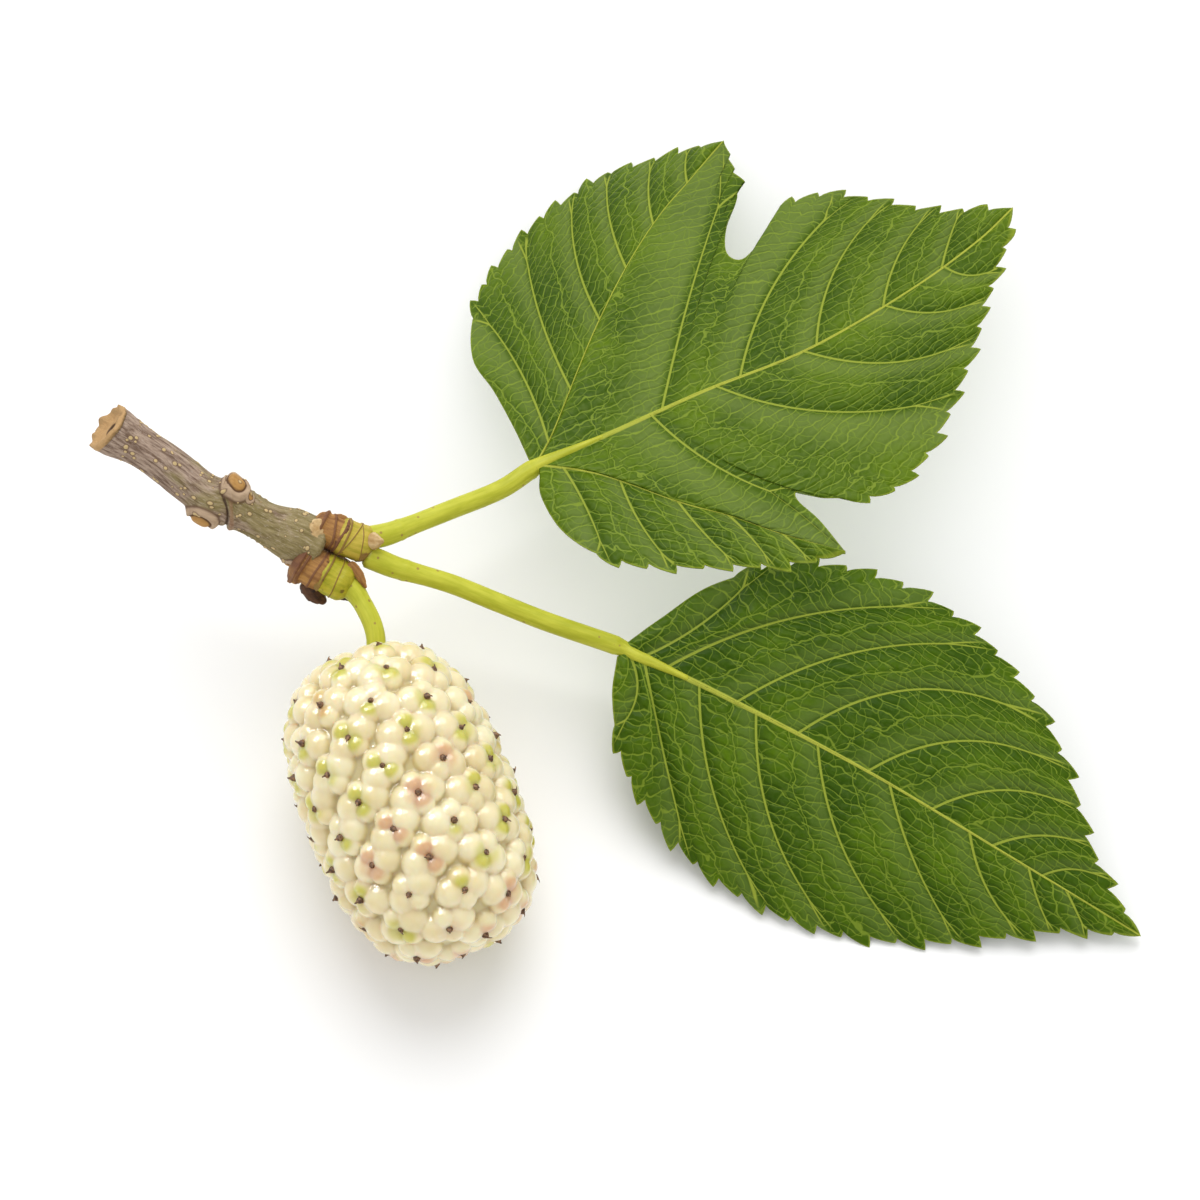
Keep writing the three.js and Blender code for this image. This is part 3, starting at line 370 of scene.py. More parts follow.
SHOOT_START = ((0.95, 0.25), (0.82, 0.5), (0.6, 0.72), (0.3, 0.86), (0, 0.9))
SHOOT_END = ((0.97, 0.2), (0.88, 0.48), (0.72, 0.75), (0.5, 0.95), (0.25, 1.05), (0, 1.08))
shoot_share = row_shares(SHOOT_ROWS, SHOOT_START, SHOOT_END)[:, None]
shoot_angle = round_angles(SHOOT_SIDES)[None, :]
for number, (name, (node, knots, radius, collars, slot)) in enumerate(SHOOTS.items()):
    brown = np.max([collar(shoot_share, shoot_angle, *shape) for _, *shape in collars], axis=0)
    make_stem(
        name, [node], slot, Line(knots), SHOOT_ROWS, SHOOT_SIDES, collared(radius, collars, 20 + 5 * number),
        SHOOT_START, SHOOT_END, collar=np.append(brown, [1.0, 0.0]))

# %% [markdown]
# Buds are small cones of overlapping scales. Each is a short stem that narrows to a point. Its scales
# are written as steps in the radius whose edges slant round the bud. The loose scales at the fork and
# the heel of bark between its spurs are made the same way.

# %% Buds
BUDS = {
    "bud_dark_scales": (
        "bud_dark", [(-28.6, -0.6, 14.5), (-28.1, -1.4, 14.0), (-27.3, -2.1, 13.5)], 1.1, "dark_bud"),
    "bud_pale_scar": (
        "bud_pale", [(-28.2, 3.3, 17.5), (-27.8, 3.8, 18.1), (-27.4, 4.2, 18.6)], 1.3, "pale_bud"),
    "bud_axil_scales": (
        "bud_axil", [(-22.5, 2.9, 17.0), (-22.0, 2.7, 17.4), (-21.5, 2.6, 17.7)], 0.85, "pale_bud"),
    "bud_scale_strip": (
        "bud_scale", [(-24.3, 0.5, 16.3), (-23.6, -0.3, 16.0), (-23.1, -1.2, 15.6)], 0.5, "spur_bark"),
    "fork_heel": (
        None, [(-28.4, 2.6, 15.2), (-26.8, 1.9, 14.9), (-24.6, 1.1, 14.7)], 0.95, "spur_bark"),
    "knob_scales": (
        None, [(-29.5, 0.1, 14.6), (-30.0, -0.1, 14.4), (-30.5, -0.2, 14.2)], 0.6, "spur_bark"),
    "lower_scale": (
        None, [(-26.4, -1.5, 14.6), (-25.7, -1.8, 14.2), (-25.0, -2.0, 13.8)], 0.45, "dark_bud"),
    "upper_scale": (
        None, [(-26.0, 5.2, 17.2), (-25.4, 5.2, 17.2), (-24.7, 5.0, 17.0)], 0.42, "spur_bark"),
}


def scaled_bud(radius, seed):
    """Radius = cone that rounds off, times a slanting stair of scales."""
    def at(share, angle):
        cone = 1 - 0.6 * share**2.6
        stair = share * 3 + 0.35 * np.sin(angle + seed)
        edge = (stair - np.floor(stair)) ** 3
        lumps = 0.02 * ripple(share * 3, angle, seed, (2, 9), 1.5, count=10)
        return radius * cone * (0.97 + 0.1 * edge) + lumps
    return at


BUD_ROWS, BUD_SIDES = 44, 48
BUD_START = ((0.9, 0.2), (0.6, 0.42), (0, 0.5))
BUD_END = ((0.92, 0.1), (0.75, 0.22), (0.45, 0.32), (0, 0.36))
for number, (name, (node, knots, radius, slot)) in enumerate(BUDS.items()):
    make_stem(
        name, [node] if node else [], slot, Line(knots), BUD_ROWS, BUD_SIDES,
        scaled_bud(radius, 40 + number), BUD_START, BUD_END)

# %% [markdown]
# The blade of a leaf is where most of the picture lies, so it is worked out with care. It is cut into
# parts, each between a spine (the midrib or the great vein of a lobe) and the margin. Rows of points run
# from spine to margin as shallow parabolas. Each row has a phase, which is a whole number exactly where
# a side vein runs, so veins, the puffed blade between them and the colours all read the same number.

# %% Leaf tables
# A vein has its start on the spine and its end on the margin, as shares of their length, and its bow.
# A stretch of the margin has its kind, the share where it ends, and its count of teeth or steps.
LOBE_PHASE = 0.92
LOWER_LEAF = {
    "foot": (2.2, -5.8, 9.826), "heading": -27.2, "rise": -8.2, "bank": 16.5, "length": 58.6, "arch": 1.2,
    "slope": (0.02, 0.0), "curl": (-0.008, -0.008), "wave": (0.5, 2.5, 0.3),
    "midrib": [(0, 0), (10, 0.6), (27, 0.8), (45, 0), (58.6, -0.7)],
    "left": {
        "margin": [
            (0.2, 0.9), (1.9, 4.4), (5.1, 10.1), (11.5, 15.6), (20, 18.3), (29, 18.1), (37.5, 15),
            (43.5, 10.8), (49, 5.4), (53, 2.1), (58.6, -0.7)],
        "veins": [
            (0.036, 0.206, -0.12), (0.08, 0.469, 0.16), (0.213, 0.55, 0.18), (0.328, 0.681, 0.32),
            (0.462, 0.748, 0.3), (0.587, 0.804, 0.26), (0.706, 0.855, 0.2), (0.802, 0.902, 0.25)],
        "stretches": [("smooth", 0.17, 6), ("teeth", 1, 21)],
    },
    "right": {
        "margin": [
            (-0.1, -0.9), (1.5, -4.9), (5, -9.3), (11, -13.1), (18.5, -15.4), (26.5, -15.5), (34, -13.8),
            (40.5, -10.8), (46.5, -6.9), (52, -3.3), (58.6, -0.7)],
        "veins": [
            (0.01, 0.109, -0.38), (0.04, 0.315, 0.02), (0.143, 0.455, 0.16), (0.25, 0.553, 0.2),
            (0.366, 0.657, 0.18), (0.504, 0.733, 0.1), (0.662, 0.824, 0.18), (0.779, 0.868, 0.08),
            (0.851, 0.917, 0)],
        "stretches": [("smooth", 0.1, 4), ("teeth", 1, 23)],
    },
}
UPPER_LEAF = {
    "foot": (-6.3, 12.9, 12.325), "heading": 31.1, "rise": -2.5, "bank": -11, "length": 57.2, "arch": 1,
    "slope": (-0.02, 0.06), "curl": (-0.005, -0.001), "wave": (0.4, 2.5, 1.2),
    "midrib": [(0, 0), (7, -1.1), (18, -2.3), (29, -3.9), (41, -3.5), (51, -1.9), (57.2, 0)],
    "left": {
        "lobe_vein": [(0, 0), (3.7, 2.6), (14.3, 11.6), (25.8, 19.9), (31.7, 23), (37.8, 25.5)],
        "outer": {
            "margin": [
                (-0.4, 0.9), (0.3, 5), (1, 10.5), (1.4, 15.6), (4.5, 21), (9, 24.9), (15, 27.2), (21, 28.6),
                (26.5, 30), (32, 28.3), (37.8, 25.5)],
            "veins": [
                (0.058, 0.384, -0.08), (0.204, 0.565, 0.08), (0.402, 0.69, 0.12), (0.558, 0.78, 0.1),
                (0.706, 0.865, 0.08), (0.857, 0.933, 0.1)],
            "stretches": [("smooth", 0.36, 7), ("teeth", 1, 15)],
        },
        "margin": [
            (37.8, 25.5), (36, 21.5), (34.8, 17.9), (31.4, 14.6), (29.6, 11.6), (30.3, 9.9), (32.9, 10.7),
            (37.5, 13.2), (42, 12), (46, 8.2), (50.3, 3.6), (57.2, 0)],
        "veins": [
            (0.237, 0.094, 0.02), (0.386, 0.667, 0.16), (0.534, 0.741, 0.18), (0.676, 0.832, 0.14),
            (0.809, 0.891, 0.04)],
        "stretches": [("teeth", 0.13, 3), ("smooth", 0.5, 11), ("teeth", 1, 10)],
    },
    "right": {
        "lobe_vein": [(0, 0), (4.5, -4.8), (9.2, -12.1), (12.6, -16.4), (15.6, -20.9), (19.6, -26.5)],
        "outer": {
            "margin": [
                (-0.2, -0.9), (-1.6, -3.5), (-1.9, -8.5), (0, -13.4), (4.5, -17.8), (10.2, -21.3),
                (15, -24.1), (19.6, -26.5)],
            "veins": [
                (0.082, 0.359, -0.06), (0.267, 0.541, 0.1), (0.462, 0.709, 0.06), (0.622, 0.8, -0.06),
                (0.8, 0.9, 0)],
            "stretches": [("smooth", 0.33, 5), ("teeth", 1, 9)],
        },
        "margin": [
            (19.6, -26.5), (19.5, -22), (19, -18.8), (19.6, -17.9), (21.5, -20.3), (26.5, -22.9),
            (32.5, -20.9), (38.3, -16.9), (43.5, -12.7), (48, -8.3), (53.5, -3.6), (57.2, 0)],
        "veins": [
            (0.216, 0.137, 0.14), (0.341, 0.56, 0.24), (0.508, 0.686, 0.26), (0.681, 0.779, 0.28),
            (0.815, 0.847, 0.4)],
        "stretches": [("smooth", 0.24, 8), ("teeth", 1, 16)],
    },
}

# %% [markdown]
# A mulberry's teeth lean towards the leaf tip: each rises slowly along a rounded back and drops sharply
# into the next notch. A large tooth and a small one take turns. Seven rows cross each tooth, placed
# where its outline bends most.

# %% Teeth and rows
TOOTH_HEIGHT = 1.0
TOOTH_LEAN = 0.45
TIP_FADE = 14
TOOTH_PLACES = np.array([0, 0.15, 0.35, 0.55, 0.74, 0.86, 0.94])
TOOTH_RISES = np.array([0, 0.32, 0.57, 0.78, 0.94, 1.0, 0.55])
ROWS_PER_SMOOTH = 5


def margin_rows(stretches, seed):
    """Shares of the margin's length, and how far the margin stands out there."""
    ats, outs = [], []
    start = 0.0
    for kind, end, count in stretches:
        pitch = (end - start) / count
        if kind == "smooth":
            at = start + np.arange(count * ROWS_PER_SMOOTH) / ROWS_PER_SMOOTH * pitch
            out = np.zeros_like(at)
        else:
            tooth = np.arange(count)[:, None]
            major = np.where(tooth % 2 == 1, 0.55, 1.0)
            height = TOOTH_HEIGHT * major * (0.8 + 0.4 * chance(tooth, seed))
            at = start + (tooth + TOOTH_PLACES) * pitch
            fade = np.minimum(1, TIP_FADE * np.minimum(at, 1 - at))
            out = TOOTH_RISES * height * fade
            at, out = at.ravel(), out.ravel()
        ats.append(at)
        outs.append(out)
        start = end
    return np.append(np.concatenate(ats), 1.0), np.append(np.concatenate(outs), 0.0)


def read_phase(veins, phase):
    """Where a row of this phase leaves the spine, as a share of it, and how far it bows."""
    phases = np.arange(len(veins) + 2)
    starts = [0, *(vein[0] for vein in veins), 1]
    bows = [veins[0][2], *(vein[2] for vein in veins), veins[-1][2]]
    return np.interp(phase, phases, starts), np.interp(phase, phases, bows)


# %% [markdown]
# The upper face of the blade is gently puffed between its side veins and creased along them, while the
# great veins stand out as fine cords. Below, the same veins are strong ribs. The heights of both faces
# are sums of simple terms in the phase and in the distance from the nearest great vein.

# %% One part of a blade
COLUMNS = 42
BLADE_BULGE = 0.45
HALF_THICKNESS = 0.2
MARGIN_HALF_THICKNESS = 0.07
BLADE_SINK = 0.15
LOBE_RIB = 0.6
SIDE_RIB, SIDE_RIB_HALF = 0.3, 0.3
GROOVE_DEPTH = 0.05
CORD_HEIGHT = 0.35
# The columns of points stand closer near the spine and near the margin.
CROWDING = 0.127
column = np.arange(COLUMNS + 1) / COLUMNS
SHARES = column - CROWDING * np.sin(TURN * column)


def cord_half(along, great):
    """Half the width of the pale cord that a great vein shows above."""
    return 0.1 + 0.32 * np.exp(-along / 0.28) if great else 0.09 + 0.17 * np.exp(-along / 0.35)


def great_rib(distance, along):
    """Rib under a great vein: depth * (1 - (distance / half width)^2), both less towards the tip."""
    half, depth = 0.9 - 0.65 * along, 1.0 - 0.75 * along
    return depth * np.clip(1 - (distance / half) ** 2, 0, 1)


def blade_part(sign, spine, great, shape, seed, lobe=None, lobe_shares=None):
    """Point(row, share) = parabola from the spine to the margin, with the teeth added near the margin.
    With a lobe's vein, the first rows end on it at the given shares. Gives the points in the leaf's
    flat, what the material reads, and the heights of both faces."""
    margin, veins = Line(shape["margin"]), shape["veins"]
    at, out = margin_rows(shape["stretches"], seed)
    end, forward = margin.at(at), margin.tangent(at)
    outwards = forward[:, [1, 0, 2]] * np.array([-sign, sign, 0])
    tooth = (outwards + TOOTH_LEAN * forward) * out[:, None]
    vein_ends = [0, *(vein[1] for vein in veins), 1]
    first_phase = 0.0 if lobe is None else LOBE_PHASE
    phase = np.interp(at, vein_ends, [first_phase, *range(1, len(veins) + 2)])
    if lobe is not None:
        lobe_shares = lobe_shares[:-1]
        end = np.vstack([lobe.at(lobe_shares), end])
        tooth = np.vstack([np.zeros((len(lobe_shares), 3)), tooth])
        phase = np.concatenate([lobe_shares * LOBE_PHASE, phase])
    start, bow = read_phase(veins, phase)
    begin = spine.at(start)
    across = end - begin
    reach = np.linalg.norm(across, axis=1)[:, None]
    square = np.stack([-across[:, 1], across[:, 0], 0 * bow], axis=1)
    bend = (begin + end) / 2 + square * (bow * sign)[:, None]
    t = SHARES[None, :, None]
    flat = (1 - t) ** 2 * begin[:, None] + 2 * t * (1 - t) * bend[:, None] + t**2 * end[:, None]

    # The gap between side veins is how far the rows are apart for one whole step of the phase.
    step, direction = np.gradient(flat, axis=0), np.gradient(flat, axis=1)
    direction = direction / np.maximum(np.linalg.norm(direction, axis=2, keepdims=True), 1e-9)
    crossing = np.abs(step[..., 0] * direction[..., 1] - step[..., 1] * direction[..., 0])
    gap = crossing / np.maximum(np.gradient(phase)[:, None], 1e-6)
    flat = flat + tooth[:, None] * np.clip((t - 0.8) / 0.2, 0, 1) ** 1.4

    t, along = SHARES[None, :], start[:, None]
    from_spine = t * reach
    half = cord_half(along, great)
    cord = from_spine / half
    rib = great_rib(from_spine, along) * (1.0 if great else LOBE_RIB)
    thinner = (HALF_THICKNESS - MARGIN_HALF_THICKNESS) * smoothstep(t, 0.9, 1.0)
    thick = HALF_THICKNESS - thinner * np.ones_like(cord)
    if lobe is not None:
        n = len(lobe_shares)
        from_lobe, lobe_along = (1 - t) * reach[:n], lobe_shares[:, None]
        cord[:n] = np.minimum(cord[:n], from_lobe / cord_half(lobe_along, False))
        rib[:n] = np.maximum(rib[:n], LOBE_RIB * great_rib(from_lobe, lobe_along))
        thick[:n] = HALF_THICKNESS
    phase = phase[:, None]
    has_vein = (phase > 0.5) & (phase < len(veins) + 0.5)
    to_vein = np.abs(phase - np.round(phase)) * gap
    side_rib = SIDE_RIB * (1 - 0.6 * t) * bell(to_vein, SIDE_RIB_HALF) * has_vein
    side_rib = side_rib * smoothstep(1 - t, 0.04, 0.2)
    puff = BLADE_BULGE * np.abs(np.sin(np.pi * phase)) * np.sin(np.pi * t)
    groove = GROOVE_DEPTH * bell(cord - 1.5, 0.9) * np.minimum(1, half / 0.15)
    raised = CORD_HEIGHT * half * np.clip(1 - cord**2, 0, 1)
    whole = np.ones_like(cord)
    return {
        "flat": flat,
        "top": puff - groove + raised + thick,
        "under": puff - thick - rib - side_rib,
        "row": np.stack([phase * whole, gap, t * whole], axis=-1),
        "run": np.stack([cord, from_spine, (1 - t) * reach], axis=-1),
        "veined": has_vein * whole,
        "starts": start,
    }


# %% [markdown]
# The parts of a leaf are joined along their spines by giving points that coincide one number. The same
# flat sheet then serves twice, once for the upper and once for the lower face, and a rim of triangles
# closes the two along the margin. Last, the whole blade is arched, waved and turned into its place.


# %% Whole leaves
WAVE_REACH, WAVE_SHIFT = 20, 1.7
PART_PHASE = 20
WELD_PER_MM = 200


def camber(leaf, x, y):
    """Height of the blade's middle: an arch along the midrib, a slope and a curl away from it on each
    side, and a wave that grows towards the margin."""
    left = y > 0
    reach, along = np.abs(y), x / leaf["length"]
    height, count, start = leaf["wave"]
    start = start + np.where(left, WAVE_SHIFT, 0)
    wave = height * np.sin(TURN * count * along + start) * (reach / WAVE_REACH) ** 2
    slope = np.where(left, *leaf["slope"])
    curl = np.where(left, *leaf["curl"])
    return leaf["arch"] * 4 * along * (1 - along) + slope * reach + curl * reach**2 + wave


def turned(angle, first, second):
    """Rotation from one axis towards another."""
    matrix = np.eye(3)
    matrix[[first, second], [first, second]] = np.cos(angle)
    matrix[second, first], matrix[first, second] = np.sin(angle), -np.sin(angle)
    return matrix


def place_on_leaf(leaf, local):
    """Turns by the bank about the midrib, then the rise of the tip, then the heading, and moves."""
    bank, rise, heading = np.radians([leaf["bank"], -leaf["rise"], leaf["heading"]])
    rotation = turned(heading, 0, 1) @ turned(rise, 2, 0) @ turned(bank, 1, 2)
    return local @ rotation.T + np.array(leaf["foot"])


def blade_parts(leaf):
    """Each part with its side's sign. A lobed side has a part outside the lobe's vein, and its other
    part lies between that vein and the midrib."""
    for side, sign, seed in (("left", 1, 1), ("right", -1, 2)):
        shape, lobed = leaf[side], {}
        if "outer" in shape:
            lobe = Line(shape["lobe_vein"])
            outer = blade_part(sign, lobe, False, shape["outer"], seed + 2)
            lobed = {"lobe": lobe, "lobe_shares": outer["starts"]}
            yield sign, outer
        yield sign, blade_part(sign, Line(leaf["midrib"]), True, shape, seed, **lobed)


def make_leaf(name, leaf, node):
    faces, offset = [], 0
    sheets = {key: [] for key in ("flat", "top", "under", "row", "run", "veined")}
    for number, (sign, part) in enumerate(blade_parts(leaf)):
        rows, columns = part["flat"].shape[:2]
        part["row"][..., 0] += PART_PHASE * number
        i, j = np.meshgrid(np.arange(rows - 1), np.arange(columns - 1), indexing="ij")
        a = offset + i * columns + j
        b, c, d = a + columns, a + columns + 1, a + 1
        order = [(a, b, c), (a, c, d)] if sign > 0 else [(a, c, b), (a, d, c)]
        faces += [np.stack(triangle, axis=-1).reshape(-1, 3) for triangle in order]
        for key, values in sheets.items():
            values.append(part[key].reshape(rows * columns, -1))
        offset += rows * columns
    sheet, faces = {key: np.vstack(values) for key, values in sheets.items()}, np.vstack(faces)

    # Points of two parts that coincide become one, and triangles that shrink to a line go.
    cells = np.round(sheet["flat"][:, :2] * WELD_PER_MM).astype(int)
    _, first, same = np.unique(cells, axis=0, return_index=True, return_inverse=True)
    welded = same.ravel()[faces]
    kept = (welded[:, 0] != welded[:, 1]) & (welded[:, 1] != welded[:, 2]) & (welded[:, 2] != welded[:, 0])
    corners, welded = faces[kept], welded[kept]
    flat = sheet["flat"][first]
    x, y = flat[:, :1], flat[:, 1:2]
    middle = camber(leaf, x, y) - BLADE_SINK
    points = place_on_leaf(leaf, np.vstack([
        np.hstack([x, y, middle + sheet["top"][first]]), np.hstack([x, y, middle + sheet["under"][first]])]))
    points[:, 2] = np.maximum(points[:, 2], 0)

    # The margin is made of the edges that run one way only.
    count = len(flat)
    around = [0, 1, 1, 2, 2, 0]
    edges, edge_corners = welded[:, around].reshape(-1, 2), corners[:, around].reshape(-1, 2)
    alone = ~np.isin(edges @ [count, 1], edges @ [1, count])
    p, q = edges[alone].T
    pc, qc = edge_corners[alone].T
    rim = np.vstack([np.stack([p, p + count, q + count], axis=1), np.stack([p, q + count, q], axis=1)])
    rim_corners = np.vstack([np.stack([pc, pc, qc], axis=1), np.stack([pc, qc, qc], axis=1)])
    all_faces = np.vstack([welded, welded[:, [0, 2, 1]] + count, rim])
    all_corners = np.vstack([corners, corners[:, [0, 2, 1]], rim_corners]).ravel()
    make_piece(
        name, points, all_faces, "leaf_green", [node],
        at_points={"flat": np.vstack([flat, flat]), "face": np.repeat([1.0, 0.0], count)},
        at_corners={key: np.squeeze(sheet[key][all_corners]) for key in ("row", "run", "veined")})


make_leaf("leaf_lower_blade", LOWER_LEAF, "leaf_lower")
make_leaf("leaf_upper_blade", UPPER_LEAF, "leaf_upper")

# %% [markdown]
# Leaf stalks and the fruit's stalk are smooth green stems, a little thicker at the joint with the shoot
# and where they meet what they carry. A leaf stalk runs on under the foot of the midrib, so the two
# flow together.

# %% Stalks
STALK_RADIUS, FRUIT_STALK_RADIUS = 0.96, 0.95
STALK_ROWS, FRUIT_STALK_ROWS, STALK_SIDES = 240, 120, 40
UPPER_STALK = [
    (-22.5, 3.6, 16.1), (-21.2, 4.0, 15.8), (-19.7, 4.7, 15.4), (-14.9, 7.3, 14.0), (-10.0, 10.1, 12.4)]
LOWER_STALK = [
    (-22.8, 1.8, 15.6), (-21.5, 1.4, 15.1), (-19.7, 0.9, 14.5), (-14.8, -0.2, 13.3), (-9.9, -1.8, 12.0),
    (-5.0, -3.4, 10.8)]
FRUIT_STALK = [
    (-24.9, -0.7, 14.9), (-24.1, -1.6, 14.8), (-23.2, -3.0, 14.6), (-22.4, -4.6, 14.3), (-22.0, -6.1, 13.9),
    (-22.0, -7.8, 13.3)]
# Where the stalk runs under the blade: how far from the leaf's foot, and how far below its middle.
UNDER_BLADE = np.array([(-0.7, 0.37), (1.5, 0.25), (4.0, 0.1), (7.0, 0.0)])


def leaf_stalk_radius(foot_share):
    """Radius = stem + swollen joint + its ring, then a taper once the stalk runs under the blade."""
    def at(share, angle):
        joint = 0.2 * (1 - smoothstep(share, 0.02, 0.2))
        ring = 0.05 * bell(share - 0.115, 0.008)
        taper = 1 - 0.72 * np.clip((share - foot_share) / (1 - foot_share), 0, 1) ** 0.7
        fine = 0.012 * ripple(share * 20, angle, 61, (5, 16), 0.3)
        return (STALK_RADIUS + joint + ring + fine) * taper
    return at


def fruit_stalk_radius(share, angle):
    foot = 1 - smoothstep(share, 0.05, 0.32)
    return FRUIT_STALK_RADIUS + 0.24 * foot + 0.01 * ripple(share * 9, angle, 62, (5, 16), 0.4)


for name, node, knots, leaf in (
    ("stalk_upper_skin", "leaf_stalk_upper", UPPER_STALK, UPPER_LEAF),
    ("stalk_lower_skin", "leaf_stalk_lower", LOWER_STALK, LOWER_LEAF),
):
    x, below = UNDER_BLADE.T
    y = np.interp(x, *Line(leaf["midrib"]).at(np.linspace(0, 1, 200))[:, :2].T)
    ends = place_on_leaf(leaf, np.stack([x, y, camber(leaf, x, 0 * x) - below], axis=1))
    line = Line([*knots, *map(tuple, ends)])
    foot_share = 1 - np.linalg.norm(np.diff(ends, axis=0), axis=1).sum() / line.length
    make_stem(
        name, [node], "stalk_green", line, STALK_ROWS, STALK_SIDES, leaf_stalk_radius(foot_share),
        start_cap=((0.75, 0.3), (0, 0.45)), end_cap=((0.7, 0.15), (0, 0.25)))

make_stem(
    "fruit_stalk_skin", ["fruit_stalk"], "stalk_green", Line(FRUIT_STALK), FRUIT_STALK_ROWS, STALK_SIDES,
    fruit_stalk_radius, start_cap=((0.8, 0.2), (0, 0.3)), end_cap=((0.9, 0.5), (0, 0.9)))

# %% [markdown]
# A mulberry is a crowd of small fruits, each with four swollen flaps round a dry style. Separate balls
# would cost many faces that nobody sees, so the fruit is one skin: a barrel whose every point is pushed
# out, along the barrel's own normal, to the outermost ball in its way. Balls that meet are joined by a
# narrow rounded crease.

# %% Fruitlets
FRUIT_MIDDLE = np.array([-18.5, -22.1, 11.0])
FRUIT_AXIS = np.array([0.385, -0.903, -0.19])
CORE_RADIUS = 9.05
CORE_HALF_LENGTH = 14.5
CORE_SQUARENESS = 2.8
FRUITLETS = 104
FLAPS = 4
WIDE_GLOBE, WIDE_OFFSET = 1.72, 1.2
SMALL_GLOBE, SMALL_OFFSET = 1.22, 1.02
GLOBE_TOP, SMALL_TOP = 1.42, 0.98
LOOSE_TURN = 1.5
PIT_CLEAR = 1.8
GOLDEN_TURN = TURN * (1 - 2 / (1 + np.sqrt(5)))

axis = FRUIT_AXIS / np.linalg.norm(FRUIT_AXIS)
side = np.cross([0, 0, 1], axis)
side = side / np.linalg.norm(side)
FRUIT_FRAME = np.stack([axis, side, np.cross(axis, side)])
stalk_end = FRUIT_FRAME @ (np.array(FRUIT_STALK[-1]) - FRUIT_MIDDLE)


def core_radius(u):
    """Radius of the barrel at u, from -1 at the stalk to 1 at the far end: (1 - |u|^n)^(1/n)."""
    return CORE_RADIUS * np.maximum(0, 1 - np.abs(u) ** CORE_SQUARENESS) ** (1 / CORE_SQUARENESS)


def round_axis(lengthwise, outwards, turn):
    """Point or direction from its share along the fruit's axis and its share away from it."""
    parts = np.broadcast_arrays(lengthwise, outwards * np.cos(turn), outwards * np.sin(turn))
    return np.stack(parts, axis=-1)


def core_normal(u, turn):
    outwards = (core_radius(u) / CORE_RADIUS) ** (CORE_SQUARENESS - 1) / CORE_RADIUS
    lengthwise = np.sign(u) * np.abs(u) ** (CORE_SQUARENESS - 1) / CORE_HALF_LENGTH
    normal = round_axis(lengthwise, outwards, turn)
    return normal / np.linalg.norm(normal, axis=-1, keepdims=True)


def core_point(u, turn):
    return round_axis(CORE_HALF_LENGTH * u, core_radius(u), turn)


profile_u = np.linspace(-1, 1, 4001)
profile = np.stack([CORE_HALF_LENGTH * profile_u, core_radius(profile_u)], axis=1)
profile_steps = np.linalg.norm(np.diff(profile, axis=0), axis=1)
skin_area = np.concatenate([[0], np.cumsum(profile_steps * (profile[1:, 1] + profile[:-1, 1]) / 2)])
share = (np.arange(FRUITLETS) + 0.5) / FRUITLETS
fruitlet_u = np.interp(share * skin_area[-1], skin_area, profile_u)
fruitlet_turn = np.arange(FRUITLETS) * GOLDEN_TURN
fruitlet_middle = core_point(fruitlet_u, fruitlet_turn)
kept = np.linalg.norm(fruitlet_middle - stalk_end, axis=1) > PIT_CLEAR
number = np.arange(FRUITLETS)[kept]
fruitlet_middle, fruitlet_turn, fruitlet_u = fruitlet_middle[kept], fruitlet_turn[kept], fruitlet_u[kept]
fruitlet_out = core_normal(fruitlet_u, fruitlet_turn)
fruitlet_around = np.stack([0 * fruitlet_turn, -np.sin(fruitlet_turn), np.cos(fruitlet_turn)], axis=1)
fruitlet_long = np.cross(fruitlet_around, fruitlet_out)

globe = np.arange(FLAPS)
globe_number = FLAPS * number[:, None] + globe
own_size = 0.93 + 0.14 * chance(globe_number, 6)
small = globe[None, :] % 2 == 1
globe_radius = np.where(small, SMALL_GLOBE, WIDE_GLOBE) * own_size
globe_offset = np.where(small, SMALL_OFFSET, WIDE_OFFSET) * own_size
globe_angle = (chance(number, 5)[:, None] - 0.5) * LOOSE_TURN + globe / FLAPS * TURN
globe_lift = np.where(small, SMALL_TOP, 1.0) * GLOBE_TOP - globe_radius
globe_place = (
    fruitlet_middle[:, None]
    + fruitlet_out[:, None] * globe_lift[..., None]
    + fruitlet_around[:, None] * (np.cos(globe_angle) * globe_offset)[..., None]
    + fruitlet_long[:, None] * (np.sin(globe_angle) * globe_offset)[..., None]
)
# Each fruitlet is tinted green or pink, the small flaps more than the wide ones, pink more at the far end.
pink_chance = chance(number, 9)[:, None] + 0.3 * fruitlet_u[:, None]
tint_chance = chance(globe_number, 8)
strength = np.where(small, smoothstep(tint_chance, 0.1, 0.6), 0.5 * smoothstep(tint_chance, 0.35, 0.9))
globe_pink = strength * smoothstep(pink_chance, 0.6, 0.85)
globe_green = strength * (1 - smoothstep(pink_chance, 0.65, 0.95))
globe_tint = np.stack([globe_green, globe_pink], axis=-1).reshape(-1, 2)
print("fruitlets:", len(number), "balls:", globe_radius.size)

# %% [markdown]
# The skin is a grid of rings along the barrel and turns round it, closed by one point at each end. For
# each ball the whole grid is measured at once: how far along its normal each point meets the ball. Along
# with the height, each point keeps how near it is to a style and the tints of the flaps round it.

# %% Skin of the fruit
SKIN_RINGS = 215
SKIN_TURNS = 430
CREASE_WIDTH = 0.2
TINT_SHARPNESS = 5
HOLLOW_FLOOR, HOLLOW_TOP = 0.3, 1.35
NO_BALL = -9.0
STYLE_REACH = 1.5
AXIS_ENDS = np.array([[-1.0, 0, 0], [1.0, 0, 0]])

